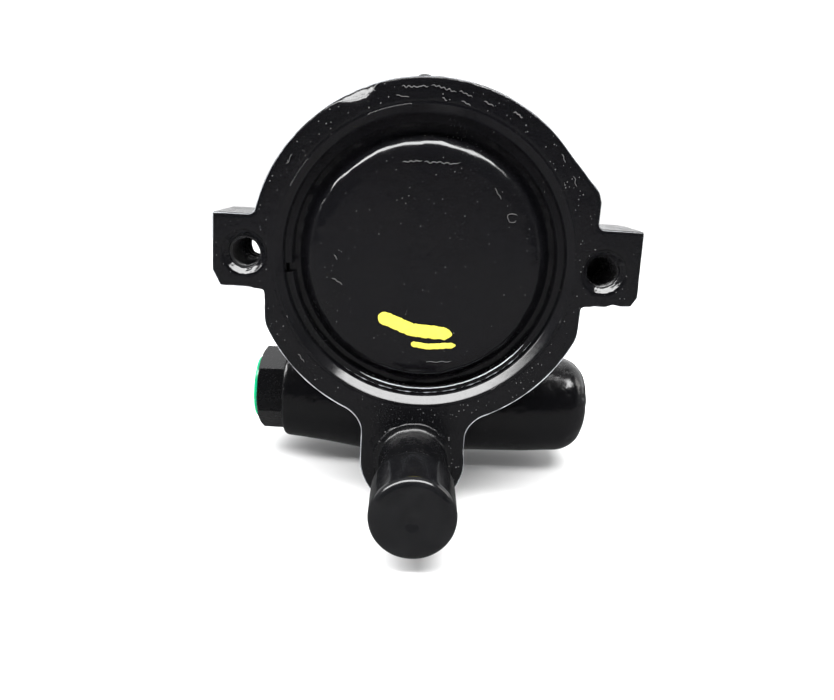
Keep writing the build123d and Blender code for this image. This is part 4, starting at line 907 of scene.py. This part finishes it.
# a plain dab of yellow marking paint on the cover, with a short drag to one side
m, nt, b, M, ramp, noise_tex, cells, bump, PP = shell("yellow_dab")
col = nt.nodes.new("ShaderNodeMix"); col.data_type = "RGBA"
col.inputs[6].default_value = (0.55, 0.49, 0.04, 1); col.inputs[7].default_value = (0.74, 0.67, 0.08, 1)
nt.links.new(noise_tex(0.8, 4.0), col.inputs[0]); nt.links.new(col.outputs[2], b.inputs["Base Color"])
b.inputs["Roughness"].default_value = 0.42
nt.links.new(bump(noise_tex(1.4, 4.0), 1.0, 0.10), b.inputs["Normal"])


def stroke(pts, half, seed):
    """A brushed band of paint along a bent line: ragged sides, thicker rims, bristle furrows, worn end."""
    gg = np.random.default_rng(seed)
    n, w = 90, 13
    pts = np.array(pts, float)
    L = np.r_[0, np.cumsum(np.hypot(*np.diff(pts, axis=0).T))]
    s = np.linspace(0, L[-1], n)
    X, Z = np.interp(s, L, pts[:, 0]), np.interp(s, L, pts[:, 1])
    for _ in range(14):
        X[1:-1] = (X[:-2] + 2 * X[1:-1] + X[2:]) / 4; Z[1:-1] = (Z[:-2] + 2 * Z[1:-1] + Z[2:]) / 4
    tx, tz = np.gradient(X), np.gradient(Z)
    q = np.hypot(tx, tz); tx, tz = tx / q, tz / q
    u = np.linspace(0, 1, n)
    side = [half * (1 + 0.10 * np.interp(u, np.linspace(0, 1, 24), gg.uniform(-1, 1, 24)) + 0.05 * gg.uniform(-1, 1, n)) * np.sqrt(np.clip(np.minimum(u / 0.05, (1 - u) / 0.10), 0.02, 1)) for _ in (0, 1)]
    v = np.linspace(-1, 1, w)
    furrow = gg.uniform(0.35, 1.0, w)
    V = []
    for k in range(n):
        o = np.where(v < 0, v * side[0][k], v * side[1][k])
        lift = 0.055 * (1 - np.abs(v) ** 6) * (0.55 + 0.45 * furrow) * (1 - 0.4 * u[k]) + 0.03 * np.exp(-((np.abs(v) - 0.86) / 0.1) ** 2)
        lift[0] = lift[-1] = -0.09
        V.append(np.stack([X[k] - tz[k] * o, -79.695 - lift, Z[k] + tx[k] * o], 1))
    V = np.concatenate(V)
    i, j = np.meshgrid(np.arange(n - 1), np.arange(w - 1), indexing="ij")
    i, j = i.ravel(), j.ravel()
    Q = np.stack([i * w + j, i * w + j + 1, (i + 1) * w + j + 1, (i + 1) * w + j], 1)
    return V, Q


W = [stroke([(-11.8, -15.2), (-3.0, -18.6), (8.6, -19.4)], 1.9, 3), stroke([(-2.5, -22.6), (2.0, -23.2), (9.8, -22.4)], 0.8, 4)]
o = join("marking_dab", W)
add(o, "pump_body", "cover_paint", m)
